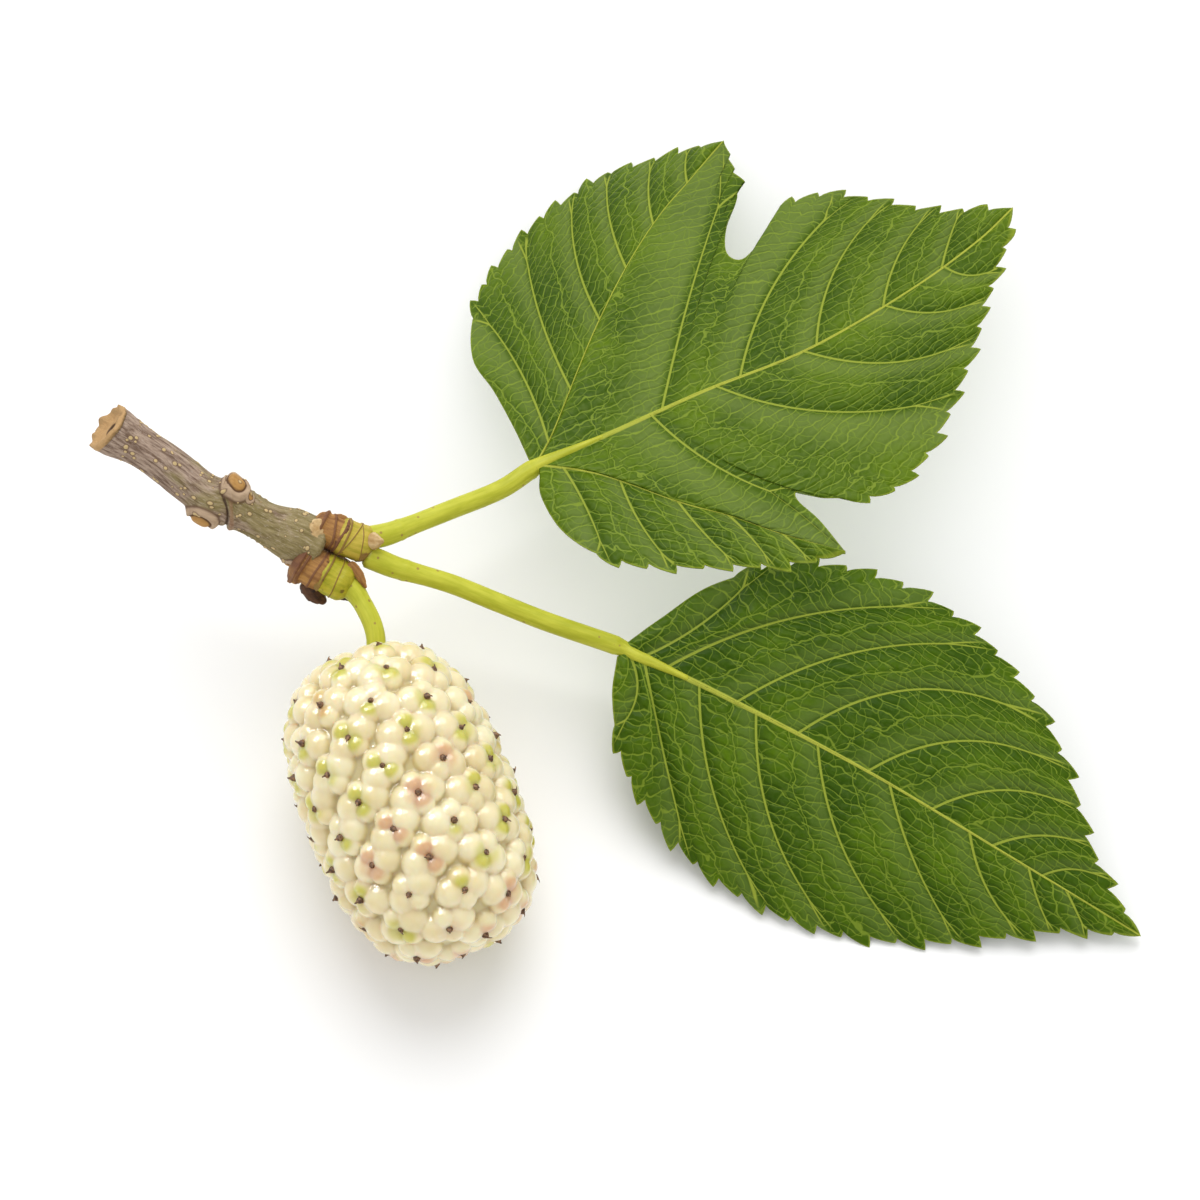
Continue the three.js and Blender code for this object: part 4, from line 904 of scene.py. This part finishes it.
profile_length = np.concatenate([[0], np.cumsum(profile_steps)])
ring_u = np.interp(np.linspace(0, profile_length[-1], SKIN_RINGS + 2), profile_length, profile_u)
grid_u, grid_turn = np.meshgrid(ring_u[1:-1], round_angles(SKIN_TURNS), indexing="ij")
skin_base = np.vstack([core_point(grid_u, grid_turn).reshape(-1, 3), CORE_HALF_LENGTH * AXIS_ENDS])
skin_out = np.vstack([core_normal(grid_u, grid_turn).reshape(-1, 3), AXIS_ENDS])

height = np.full(len(skin_base), HOLLOW_FLOOR)
tallest = np.full(len(skin_base), HOLLOW_FLOOR)
owner = np.full(len(skin_base), -1)
weight = np.full(len(skin_base), 1e-6)
tints = np.zeros((len(skin_base), 2))
for index, (place, radius) in enumerate(zip(globe_place.reshape(-1, 3), globe_radius.ravel())):
    to_globe = place - skin_base
    along = np.sum(to_globe * skin_out, axis=1)
    inside = along**2 - np.sum(to_globe**2, axis=1) + radius**2
    reach = np.where(inside > 0, along + np.sqrt(np.maximum(inside, 0)), NO_BALL)
    overlap = np.maximum(CREASE_WIDTH - np.abs(height - reach), 0)
    owner = np.where(reach > tallest, index, owner)
    tallest = np.maximum(tallest, reach)
    height = np.maximum(height, reach) + overlap**2 / (4 * CREASE_WIDTH)
    pull = np.exp(TINT_SHARPNESS * (reach - 2))
    weight = weight + pull
    tints = tints + pull[:, None] * globe_tint[index]
green, pink = (tints / weight[:, None]).T
owner_fruitlet = np.maximum(owner, 0) // FLAPS
near_style = bell(np.linalg.norm(skin_base - fruitlet_middle[owner_fruitlet], axis=1), STYLE_REACH)
skin = (skin_base + skin_out * height[:, None]) @ FRUIT_FRAME + FRUIT_MIDDLE
skin[:, 2] = np.maximum(skin[:, 2], 0)
make_piece(
    "fruit_skin", skin, tube_faces(SKIN_RINGS, SKIN_TURNS), "fruit_white", ["fruit"],
    at_points={
        "tint": np.stack([near_style, green, pink], axis=1),
        # How deep each point lies between the balls; it drives the painted shade in the creases.
        "hollow_shade": np.clip(HOLLOW_TOP - height, 0, 1),
        "own": chance(owner_fruitlet, 10),
    })

# %% [markdown]
# Each fruitlet keeps the dry style of its flower: a dark bead in the dimple between the four flaps, with
# a thin hooked end. The bead and hook are one small stem of about a hundred faces, and all of them are
# worked out together as one array.

# %% Styles
STYLE_SIDES = 7
STYLE_HEIGHTS = np.array([0.40, 0.90, 1.10, 1.32, 1.46, 1.54, 1.62, 1.64])
STYLE_RADII = np.array([0.18, 0.32, 0.38, 0.30, 0.14, 0.10, 0.08])
STYLE_BENDS = np.array([0, 0, 0, 0, 0.08, 0.2, 0.34, 0.46])

count = len(number)
lean_angle = chance(number, 12) * TURN
lean = fruitlet_around * np.cos(lean_angle)[:, None] + fruitlet_long * np.sin(lean_angle)[:, None]
tall = 0.85 + 0.3 * chance(number, 13)
bend = STYLE_BENDS[None, :] * (0.3 + 1.2 * chance(number, 14))[:, None]
spine = (
    fruitlet_middle[:, None]
    + fruitlet_out[:, None] * (STYLE_HEIGHTS[None, :] * tall[:, None])[..., None]
    + lean[:, None] * bend[..., None]
)
style_angle = round_angles(STYLE_SIDES)[:, None]
across = fruitlet_around[:, None] * np.cos(style_angle) + fruitlet_long[:, None] * np.sin(style_angle)
rings = spine[:, :-1, None] + across[:, None] * STYLE_RADII[:, None, None]
style_points = np.concatenate([rings.reshape(count, -1, 3), spine[:, :1], spine[:, -1:]], axis=1)
first_numbers = np.arange(count)[:, None, None] * style_points.shape[1]
style_faces = (tube_faces(len(STYLE_RADII), STYLE_SIDES) + first_numbers).reshape(-1, 3)
style_world = style_points.reshape(-1, 3) @ FRUIT_FRAME + FRUIT_MIDDLE
style_world[:, 2] = np.maximum(style_world[:, 2], 0.01)
make_piece("fruit_styles", style_world, style_faces, "dark_bud")

# %% [markdown]
# Materials are written as sums. A small class stands for one output of a node, and arithmetic on it adds
# the Math nodes, so a mask reads like the formula that it is. Colours never pass through Math nodes:
# they are blended by Mix nodes.


# %% Shader arithmetic
class Reading:
    """One output socket of a material's nodes."""

    def __init__(self, finish, socket):
        self.finish = finish
        self.socket = socket

    def math(self, operation, *others, swap=False):
        values = [*others, self] if swap else [self, *others]
        return self.finish.node("ShaderNodeMath", {"operation": operation}, dict(enumerate(values)))

    def __add__(self, other):
        return self.math("ADD", other)

    def __sub__(self, other):
        return self.math("SUBTRACT", other)

    def __rsub__(self, other):
        return self.math("SUBTRACT", other, swap=True)

    def __mul__(self, other):
        return self.math("MULTIPLY", other)

    def __truediv__(self, other):
        return self.math("DIVIDE", other)

    def __abs__(self):
        return self.math("ABSOLUTE")

    __radd__ = __add__
    __rmul__ = __mul__


class Finish:
    """A material under construction: its nodes, and the Principled shader that they feed."""

    def __init__(self, name, **constants):
        self.material = bpy.data.materials.new(name)
        self.material.use_nodes = True
        self.tree = self.material.node_tree
        self.shader = self.tree.nodes["Principled BSDF"]
        for key, value in constants.items():
            self.shader.inputs[key.replace("_", " ")].default_value = value

    def node(self, kind, settings=None, inputs=None, output=0):
        node = self.tree.nodes.new(kind)
        for key, value in (settings or {}).items():
            setattr(node, key, value)
        for key, value in (inputs or {}).items():
            if isinstance(value, Reading):
                self.tree.links.new(value.socket, node.inputs[key])
            else:
                node.inputs[key].default_value = value
        return Reading(self, node.outputs[output])

    def feed(self, socket, value):
        self.tree.links.new(value.socket, self.shader.inputs[socket])

    def vector(self, name):
        return self.node("ShaderNodeAttribute", {"attribute_name": name}, output="Vector")

    def number(self, name):
        return self.node("ShaderNodeAttribute", {"attribute_name": name}, output="Fac")

    def split(self, vector):
        parts = self.node("ShaderNodeSeparateXYZ", None, {0: vector})
        return [Reading(self, socket) for socket in parts.socket.node.outputs]

    def position(self):
        return self.node("ShaderNodeTexCoord", output="Object")

    def vector_math(self, operation, *vectors):
        return self.node("ShaderNodeVectorMath", {"operation": operation}, dict(enumerate(vectors)))

    def stretched(self, vector, x, y, z):
        return self.vector_math("MULTIPLY", vector, (x, y, z))

    def noise(self, vector, scale, detail=3.0, roughness=0.55, output=0):
        inputs = {"Vector": vector, "Scale": scale, "Detail": detail, "Roughness": roughness}
        return self.node("ShaderNodeTexNoise", None, inputs, output)

    def rise(self, value, low, high):
        """0 below low, 1 above high, smooth between; falls instead where high is below low."""
        inputs = {"Value": value, "From Min": low, "From Max": high}
        return self.node("ShaderNodeMapRange", {"interpolation_type": "SMOOTHSTEP"}, inputs)

    def mix(self, share, first, second):
        settings = {"data_type": "RGBA", "clamp_factor": True}
        colours = [value if isinstance(value, Reading) else (*value, 1.0) for value in (first, second)]
        return self.node("ShaderNodeMix", settings, {0: share, 6: colours[0], 7: colours[1]}, output=2)

    def coated(self, base, *coats):
        """Lays colours over a base one by one; a coat is (share, colour)."""
        for share, colour in coats:
            base = self.mix(share, base, colour)
        return base

    def bump(self, height, distance, strength=1.0):
        """Distance is how far, in metres, a height of 1 stands out."""
        inputs = {"Height": height, "Distance": distance, "Strength": strength}
        self.feed("Normal", self.node("ShaderNodeBump", None, inputs))

    def dress(self, *names):
        for name in names:
            pieces[name].data.materials.append(self.material)


# %% [markdown]
# A leaf's green changes with its veins. Side veins are the lines where the phase is a whole number, and
# near the margin each one forks: the distance to the line is measured from a phase that slides away from
# the whole number. Between them thin rungs cross the blade, and the finest net is the border between
# random cells. The pillows inside the net catch the light, so the same distances also drive the bump.
# They also paint light and shade into the green: painted shade at the edges of the pillows and beside
# the side veins, and a painted sheen in small patches and before each side vein.


# %% Leaf green
RUNGS_PER_MM = 0.7
FORK_FROM = 0.84
NET_BEND = 2.2
LEAF_RELIEF = 0.00014


def leaf_finish(name, deep_and_shade, fresh, sheen, line_strength):
    f = Finish(name, Specular_IOR_Level=0.05)
    phase, gap, share = f.split(f.vector("row"))
    cord, from_spine, to_margin = f.split(f.vector("run"))
    flat = f.vector("flat")
    wobble = f.noise(flat, 0.35, 2.0, 0.5, output="Color")
    wobble = f.vector_math("SUBTRACT", wobble, (0.5, 0.5, 0.5))

    # Side veins, each with a fork near the margin.
    rounded = phase.math("ROUND")
    off = abs(phase - rounded)
    fork = (share - FORK_FROM).math("MAXIMUM", 0.0) * 0.5
    side_distance = abs(off - fork) * gap
    side_half = 0.11 - 0.065 * share
    veined = f.number("veined")
    side_vein = f.rise(side_distance - side_half, 0.06, -0.02) * veined * f.rise(share, 0.995, 0.93)
    # Rungs cross from each side vein to a crooked line half way to the next, so they meet it by turns.
    drift, sway, _ = f.split(wobble)
    strip = (phase * 2.0).math("FLOOR")
    rung_place = from_spine * RUNGS_PER_MM + strip * 0.37 + drift * 1.6
    rung = abs(rung_place.math("FRACT") - 0.5) / RUNGS_PER_MM
    halfway = abs(phase.math("FRACT") - 0.5 + sway * 0.5) * gap
    coarse = rung.math("MINIMUM", halfway)
    coarse_line = f.rise(coarse, 0.1, 0.03)

    # The finest net: borders of random cells, bent a little by the same wobble.
    bent = f.vector_math("MULTIPLY_ADD", wobble, (NET_BEND, NET_BEND, NET_BEND), flat)
    cells = {"feature": "DISTANCE_TO_EDGE", "voronoi_dimensions": "2D"}
    fine = f.node("ShaderNodeTexVoronoi", cells, {"Vector": bent, "Scale": 0.75}, "Distance")
    fine_line = f.rise(fine, 0.055, 0.02)

    great = f.rise(cord, 1.25, 0.75)
    patch = f.noise(flat, 0.09, 2.0)
    grain_and_sheen = f.noise(flat, 1.6, 4.0)
    near_margin = f.rise(to_margin, 5.0, 0.0)
    shade_by_vein = f.rise(side_distance, 1.8, 0.1) * veined
    pillow = f.rise(coarse.math("MINIMUM", side_distance), 0.0, 0.55) * 0.75 + f.rise(fine, 0.0, 0.35) * 0.25
    # Painted light from one side: each pillow is painted darker just past a vein,
    # with a painted sheen before the next.
    signed = phase - rounded
    shaded = f.rise(signed, 0.42, 0.05) * f.rise(signed, -0.03, 0.05) * veined
    shining = f.rise(signed, -0.45, -0.12) * f.rise(signed, 0.0, -0.08) * veined
    f.feed("Base Color", f.coated(
        f.mix(f.rise(patch, 0.3, 0.7), deep_and_shade, fresh),
        # Painted shade: each pillow darker towards its edges, in the creases of the net.
        ((1 - pillow) * 0.55, deep_and_shade),
        (near_margin * 0.5, fresh),
        # Painted sheen in small random patches.
        (f.rise(grain_and_sheen, 0.35, 0.75) * 0.35, sheen),
        # Painted shade in the crease beside each side vein.
        (shade_by_vein * 0.45, deep_and_shade),
        (shaded * 0.45, deep_and_shade),
        (shining * 0.6, sheen),
        (fine_line * 0.45 * line_strength, (0.18, 0.26, 0.025)),
        (coarse_line * 0.65 * line_strength, (0.22, 0.3, 0.03)),
        (side_vein * 0.95, (0.29, 0.35, 0.04)),
        (great, (0.4, 0.43, 0.055)),
        (f.rise(to_margin, 0.22, 0.05) * 0.6, (0.28, 0.34, 0.03)),
        ((1 - f.number("face")) * 0.55, (0.22, 0.3, 0.09))))
    f.feed("Roughness", 0.36 + 0.16 * grain_and_sheen + 0.08 * great)

    crease = f.rise(side_distance, 0.9, 0.0) * veined
    relief = pillow - crease * 0.7 + side_vein * 0.5 + grain_and_sheen * 0.12
    f.bump(relief, LEAF_RELIEF, 0.9)
    return f


leaf_finish(
    "green of the plain leaf", (0.027, 0.068, 0.0015), (0.084, 0.158, 0.003), (0.11, 0.17, 0.03), 1.0,
).dress("leaf_lower_blade")
leaf_finish(
    "green of the lobed leaf", (0.036, 0.08, 0.002), (0.104, 0.176, 0.004), (0.15, 0.21, 0.045), 1.1,
).dress("leaf_upper_blade")

# %% [markdown]
# The fruit is nearly clear: light goes in and comes out creamy. Subsurface scattering gives that glow,
# and a smooth coat gives the wet highlights. Tints of green and of pink gather round the styles, the
# pink more towards the far end. The hollows between the flaps are painted darker and warmer: painted
# shade.


# %% Fruit white
FRUIT_RELIEF = 0.00004


def fruit_finish():
    f = Finish(
        "fruit flesh", Subsurface_Weight=0.85, Subsurface_Scale=0.0022, Subsurface_Radius=(1.0, 0.75, 0.42),
        IOR=1.42, Coat_Weight=0.9, Coat_Roughness=0.1, Specular_IOR_Level=0.5)
    near, green, pink = f.split(f.vector("tint"))
    cloud, milk = f.noise(f.position(), 260.0, 2.0), f.noise(f.position(), 1300.0, 3.0)
    inner = f.rise(near, 0.05, 0.8)
    f.feed("Base Color", f.coated(
        f.mix(f.rise(cloud, 0.35, 0.65), (0.76, 0.65, 0.37), (0.85, 0.77, 0.51)),
        (f.number("own") * 0.3, (0.73, 0.58, 0.32)),
        # Painted shade: darker and warmer in the hollows between the flaps.
        (f.rise(f.number("hollow_shade"), 0.45, 1.0) * 0.6, (0.56, 0.44, 0.14)),
        (f.rise(green * inner, 0.12, 0.75) * 0.9, (0.53, 0.50, 0.05)),
        (f.rise(pink * inner, 0.12, 0.75) * 0.7, (0.60, 0.29, 0.14)),
        (f.rise(milk, 0.55, 0.8) * 0.12, (0.92, 0.88, 0.78))))
    f.feed("Roughness", 0.24 + 0.12 * milk)
    f.bump(milk, FRUIT_RELIEF, 0.5)
    return f


fruit_finish().dress("fruit_skin")

# %% [markdown]
# The twig's bark is grey-brown wood streaked along its length, olive towards the fork, with cracks and
# pale pores, and its scars read their rings from the distance to the scar's middle. Stalks, shoots and
# buds share one plainer recipe with different colours. All of them use the stem's own coordinates, so
# the streaks follow its bends.


# %% Bark, stalks and buds
BARK_RELIEF, BUD_RELIEF, SKIN_RELIEF = 0.00018, 0.0001, 0.00006
SHOOT_RING = (0.2, 0.09, 0.03)


def bark_finish():
    f = Finish("twig bark", Specular_IOR_Level=0.3)
    stem = f.vector("stem")
    along, _, _ = f.split(stem)
    pore, scar, crack = f.split(f.vector("marks"))
    streaks = f.noise(f.stretched(stem, 0.4, 2.8, 2.8), 1.0, 6.0, 0.65)
    fine = f.noise(f.stretched(stem, 1.6, 8.0, 8.0), 1.0, 5.0, 0.7)
    blotch = f.noise(f.stretched(stem, 0.3, 0.5, 0.5), 1.0, 3.0)
    olive = f.rise(blotch + along * 0.032, 0.72, 1.05)
    f.feed("Base Color", f.coated(
        f.mix(f.rise(streaks, 0.36, 0.64), (0.15, 0.088, 0.055), (0.44, 0.325, 0.245)),
        (olive * 0.75, f.mix(streaks, (0.14, 0.11, 0.025), (0.36, 0.30, 0.10))),
        (f.rise(fine, 0.52, 0.7) * 0.45, (0.60, 0.50, 0.41)),
        (f.rise(fine, 0.45, 0.3) * 0.5, (0.12, 0.07, 0.045)),
        (f.rise(crack, 0.3, 0.8) * 0.85, (0.07, 0.035, 0.02)),
        (f.rise(crack * -1.0, 0.3, 0.8) * 0.6, (0.3, 0.16, 0.08)),
        # The scar from its dark rim in to the pale plate, the dark ring and the rust-brown middle.
        (f.rise(scar, 1.15, 1.0) * 0.85, (0.12, 0.06, 0.03)),
        (f.rise(scar, 1.02, 0.88), f.mix(streaks, (0.30, 0.19, 0.12), (0.62, 0.46, 0.30))),
        (f.rise(scar, 0.6, 0.52), (0.10, 0.045, 0.015)),
        (f.rise(scar, 0.5, 0.4), f.mix(streaks, (0.30, 0.13, 0.03), (0.62, 0.36, 0.11))),
        (f.rise(pore, 0.12, 0.3) * 0.6, (0.12, 0.06, 0.03)),
        (f.rise(pore, 0.35, 0.6) * 0.95, (0.62, 0.46, 0.22)),
        (f.number("cut"), f.mix(fine, (0.36, 0.18, 0.06), (0.66, 0.44, 0.2))),
        (f.rise(f.number("pith"), 0.4, 0.9), (0.1, 0.05, 0.02))))
    f.feed("Roughness", 0.62 + 0.25 * fine)
    f.bump(streaks * 0.6 + fine * 0.4, BARK_RELIEF, 0.9)
    return f


def stem_finish(name, dark, light, spot, ring=None, roughness=0.5, relief=SKIN_RELIEF):
    """Streaks between a dark and a light colour, rings along the collars, and spots."""
    f = Finish(name, Specular_IOR_Level=0.22)
    stem = f.vector("stem")
    streaks = f.noise(f.stretched(stem, 0.25, 2.0, 2.0), 1.0, 5.0, 0.6)
    slow = f.noise(f.stretched(stem, 0.3, 0.5, 0.5), 1.0, 2.0)
    fine = f.noise(stem, 6.0, 4.0, 0.6)
    cells = f.node("ShaderNodeTexVoronoi", {"feature": "F1"}, {"Vector": stem, "Scale": 0.8}, "Distance")
    rings = [(f.rise(f.number("collar"), 0.25, 0.75) * 0.8, ring)] if ring else []
    f.feed("Base Color", f.coated(
        f.mix(f.rise(streaks * 0.6 + slow * 0.4, 0.35, 0.65), dark, light),
        *rings,
        (f.rise(cells, 0.16, 0.08) * 0.8, spot)))
    f.feed("Roughness", roughness + 0.15 * fine)
    f.bump(streaks * 0.7 + fine * 0.3, relief, 0.8)
    return f


bark_finish().dress("twig_bark")
stem_finish(
    "spur bark", (0.20, 0.08, 0.025), (0.48, 0.25, 0.07), (0.10, 0.04, 0.02), ring=(0.16, 0.065, 0.035),
    roughness=0.65, relief=BARK_RELIEF,
).dress("fruit_spur_bark", "leaf_spur_bark", "bud_scale_strip", "fork_heel", "knob_scales", "upper_scale")
stem_finish(
    "fruit shoot green", (0.30, 0.30, 0.012), (0.50, 0.43, 0.03), (0.14, 0.07, 0.02), ring=SHOOT_RING,
).dress("fruit_shoot_skin")
stem_finish(
    "leaf shoot green", (0.34, 0.30, 0.02), (0.56, 0.42, 0.06), (0.20, 0.09, 0.03), ring=SHOOT_RING,
).dress("leaf_shoot_skin")
stem_finish(
    "stalk green", (0.40, 0.42, 0.02), (0.56, 0.56, 0.05), (0.30, 0.17, 0.05), roughness=0.42,
).dress("stalk_upper_skin", "stalk_lower_skin", "fruit_stalk_skin")
stem_finish(
    "dark bud", (0.035, 0.014, 0.006), (0.14, 0.06, 0.025), (0.02, 0.01, 0.005),
    roughness=0.6, relief=BUD_RELIEF,
).dress("bud_dark_scales", "lower_scale")
stem_finish(
    "pale bud", (0.42, 0.25, 0.09), (0.68, 0.5, 0.26), (0.16, 0.08, 0.04), roughness=0.65, relief=BUD_RELIEF,
).dress("bud_pale_scar", "bud_axil_scales")


# %% Style brown
STYLE_RELIEF = 0.00005


def style_finish():
    f = Finish("dry style", Specular_IOR_Level=0.4)
    speck = f.noise(f.position(), 4000.0, 3.0)
    f.feed("Base Color", f.mix(f.rise(speck, 0.4, 0.65), (0.08, 0.035, 0.015), (0.28, 0.15, 0.07)))
    f.feed("Roughness", 0.45 + 0.3 * speck)
    f.bump(speck, STYLE_RELIEF, 0.7)
    return f


style_finish().dress("fruit_styles")

# %% [markdown]
# The sprig lies on a white table under a broad soft light from above and behind, so its shadows fall
# short and soft towards the viewer. The sky round it is white, fills the shadows and lifts the table to
# plain white. A small window to the left shows only as glints, on the fruit above all. The camera looks
# down steeply through a long lens, as a product photograph is taken.

# %% Table, light and camera
FLOOR_HALF = 1.5
floor_mesh = bpy.data.meshes.new("table")
floor_mesh.from_pydata(
    [(-FLOOR_HALF, -FLOOR_HALF, 0), (FLOOR_HALF, -FLOOR_HALF, 0), (FLOOR_HALF, FLOOR_HALF, 0),
     (-FLOOR_HALF, FLOOR_HALF, 0)], [], [(0, 1, 2, 3)])
floor = bpy.data.objects.new("table", floor_mesh)
bpy.context.scene.collection.objects.link(floor)
table = Finish("white table", Base_Color=(0.96, 0.96, 0.96, 1), Roughness=0.9, Specular_IOR_Level=0.1)
floor_mesh.materials.append(table.material)
floor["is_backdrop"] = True

scene = bpy.context.scene
scene.view_settings.view_transform = "Standard"
world = bpy.data.worlds.new("white room")
scene.world = world
world.use_nodes = True
sky = world.node_tree.nodes["Background"].inputs
sky["Color"].default_value = (1.0, 1.0, 1.0, 1)
sky["Strength"].default_value = 0.8


def aim(thing, place, target):
    """Puts a light or camera at a place and turns its -Z axis to the target."""
    direction = Vector(target) - Vector(place)
    thing.location = place
    thing.rotation_euler = direction.to_track_quat("-Z", "Y").to_euler()


def add_light(name, kind, place, energy, **settings):
    light = bpy.data.lights.new(name, kind)
    light.energy = energy
    for key, value in settings.items():
        setattr(light, key, value)
    lamp = bpy.data.objects.new(name, light)
    scene.collection.objects.link(lamp)
    aim(lamp, place, (0, 0, 0))
    return lamp


add_light("broad light", "SUN", (0.02, 0.45, 0.6), 1.6, angle=0.8)
window = add_light("window", "AREA", (-0.3, 0.2, 0.45), 3.2, size=0.3, use_shadow=False)
window.visible_diffuse = False

# The lobed leaf leaves no edge of shadow on the bright table, only a dimness close under it.
pieces["leaf_upper_blade"].visible_shadow = False

LENS = 120.0
DISTANCE = 0.4
ELEVATION = np.radians(70.0)
TARGET = (np.array([0.0, 0.0, 8.0]) - BOX_MIDDLE) * MM
camera_data = bpy.data.cameras.new("camera")
camera_data.lens = LENS
camera_data.sensor_width = 36.0
camera_data.clip_start = 0.01
camera = bpy.data.objects.new("camera", camera_data)
scene.collection.objects.link(camera)
eye = TARGET + DISTANCE * np.array([0, -np.cos(ELEVATION), np.sin(ELEVATION)])
aim(camera, tuple(eye), tuple(TARGET))
scene.camera = camera

# %% Measure and finish
visual_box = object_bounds()
boxes = {"cad": cad_box, "visual": visual_box}
{name: [list(corner) for corner in box] for name, box in boxes.items()}
print("visual box in metres:", visual_box)
print("triangles:", sum(len(piece.data.polygons) for piece in pieces.values()))
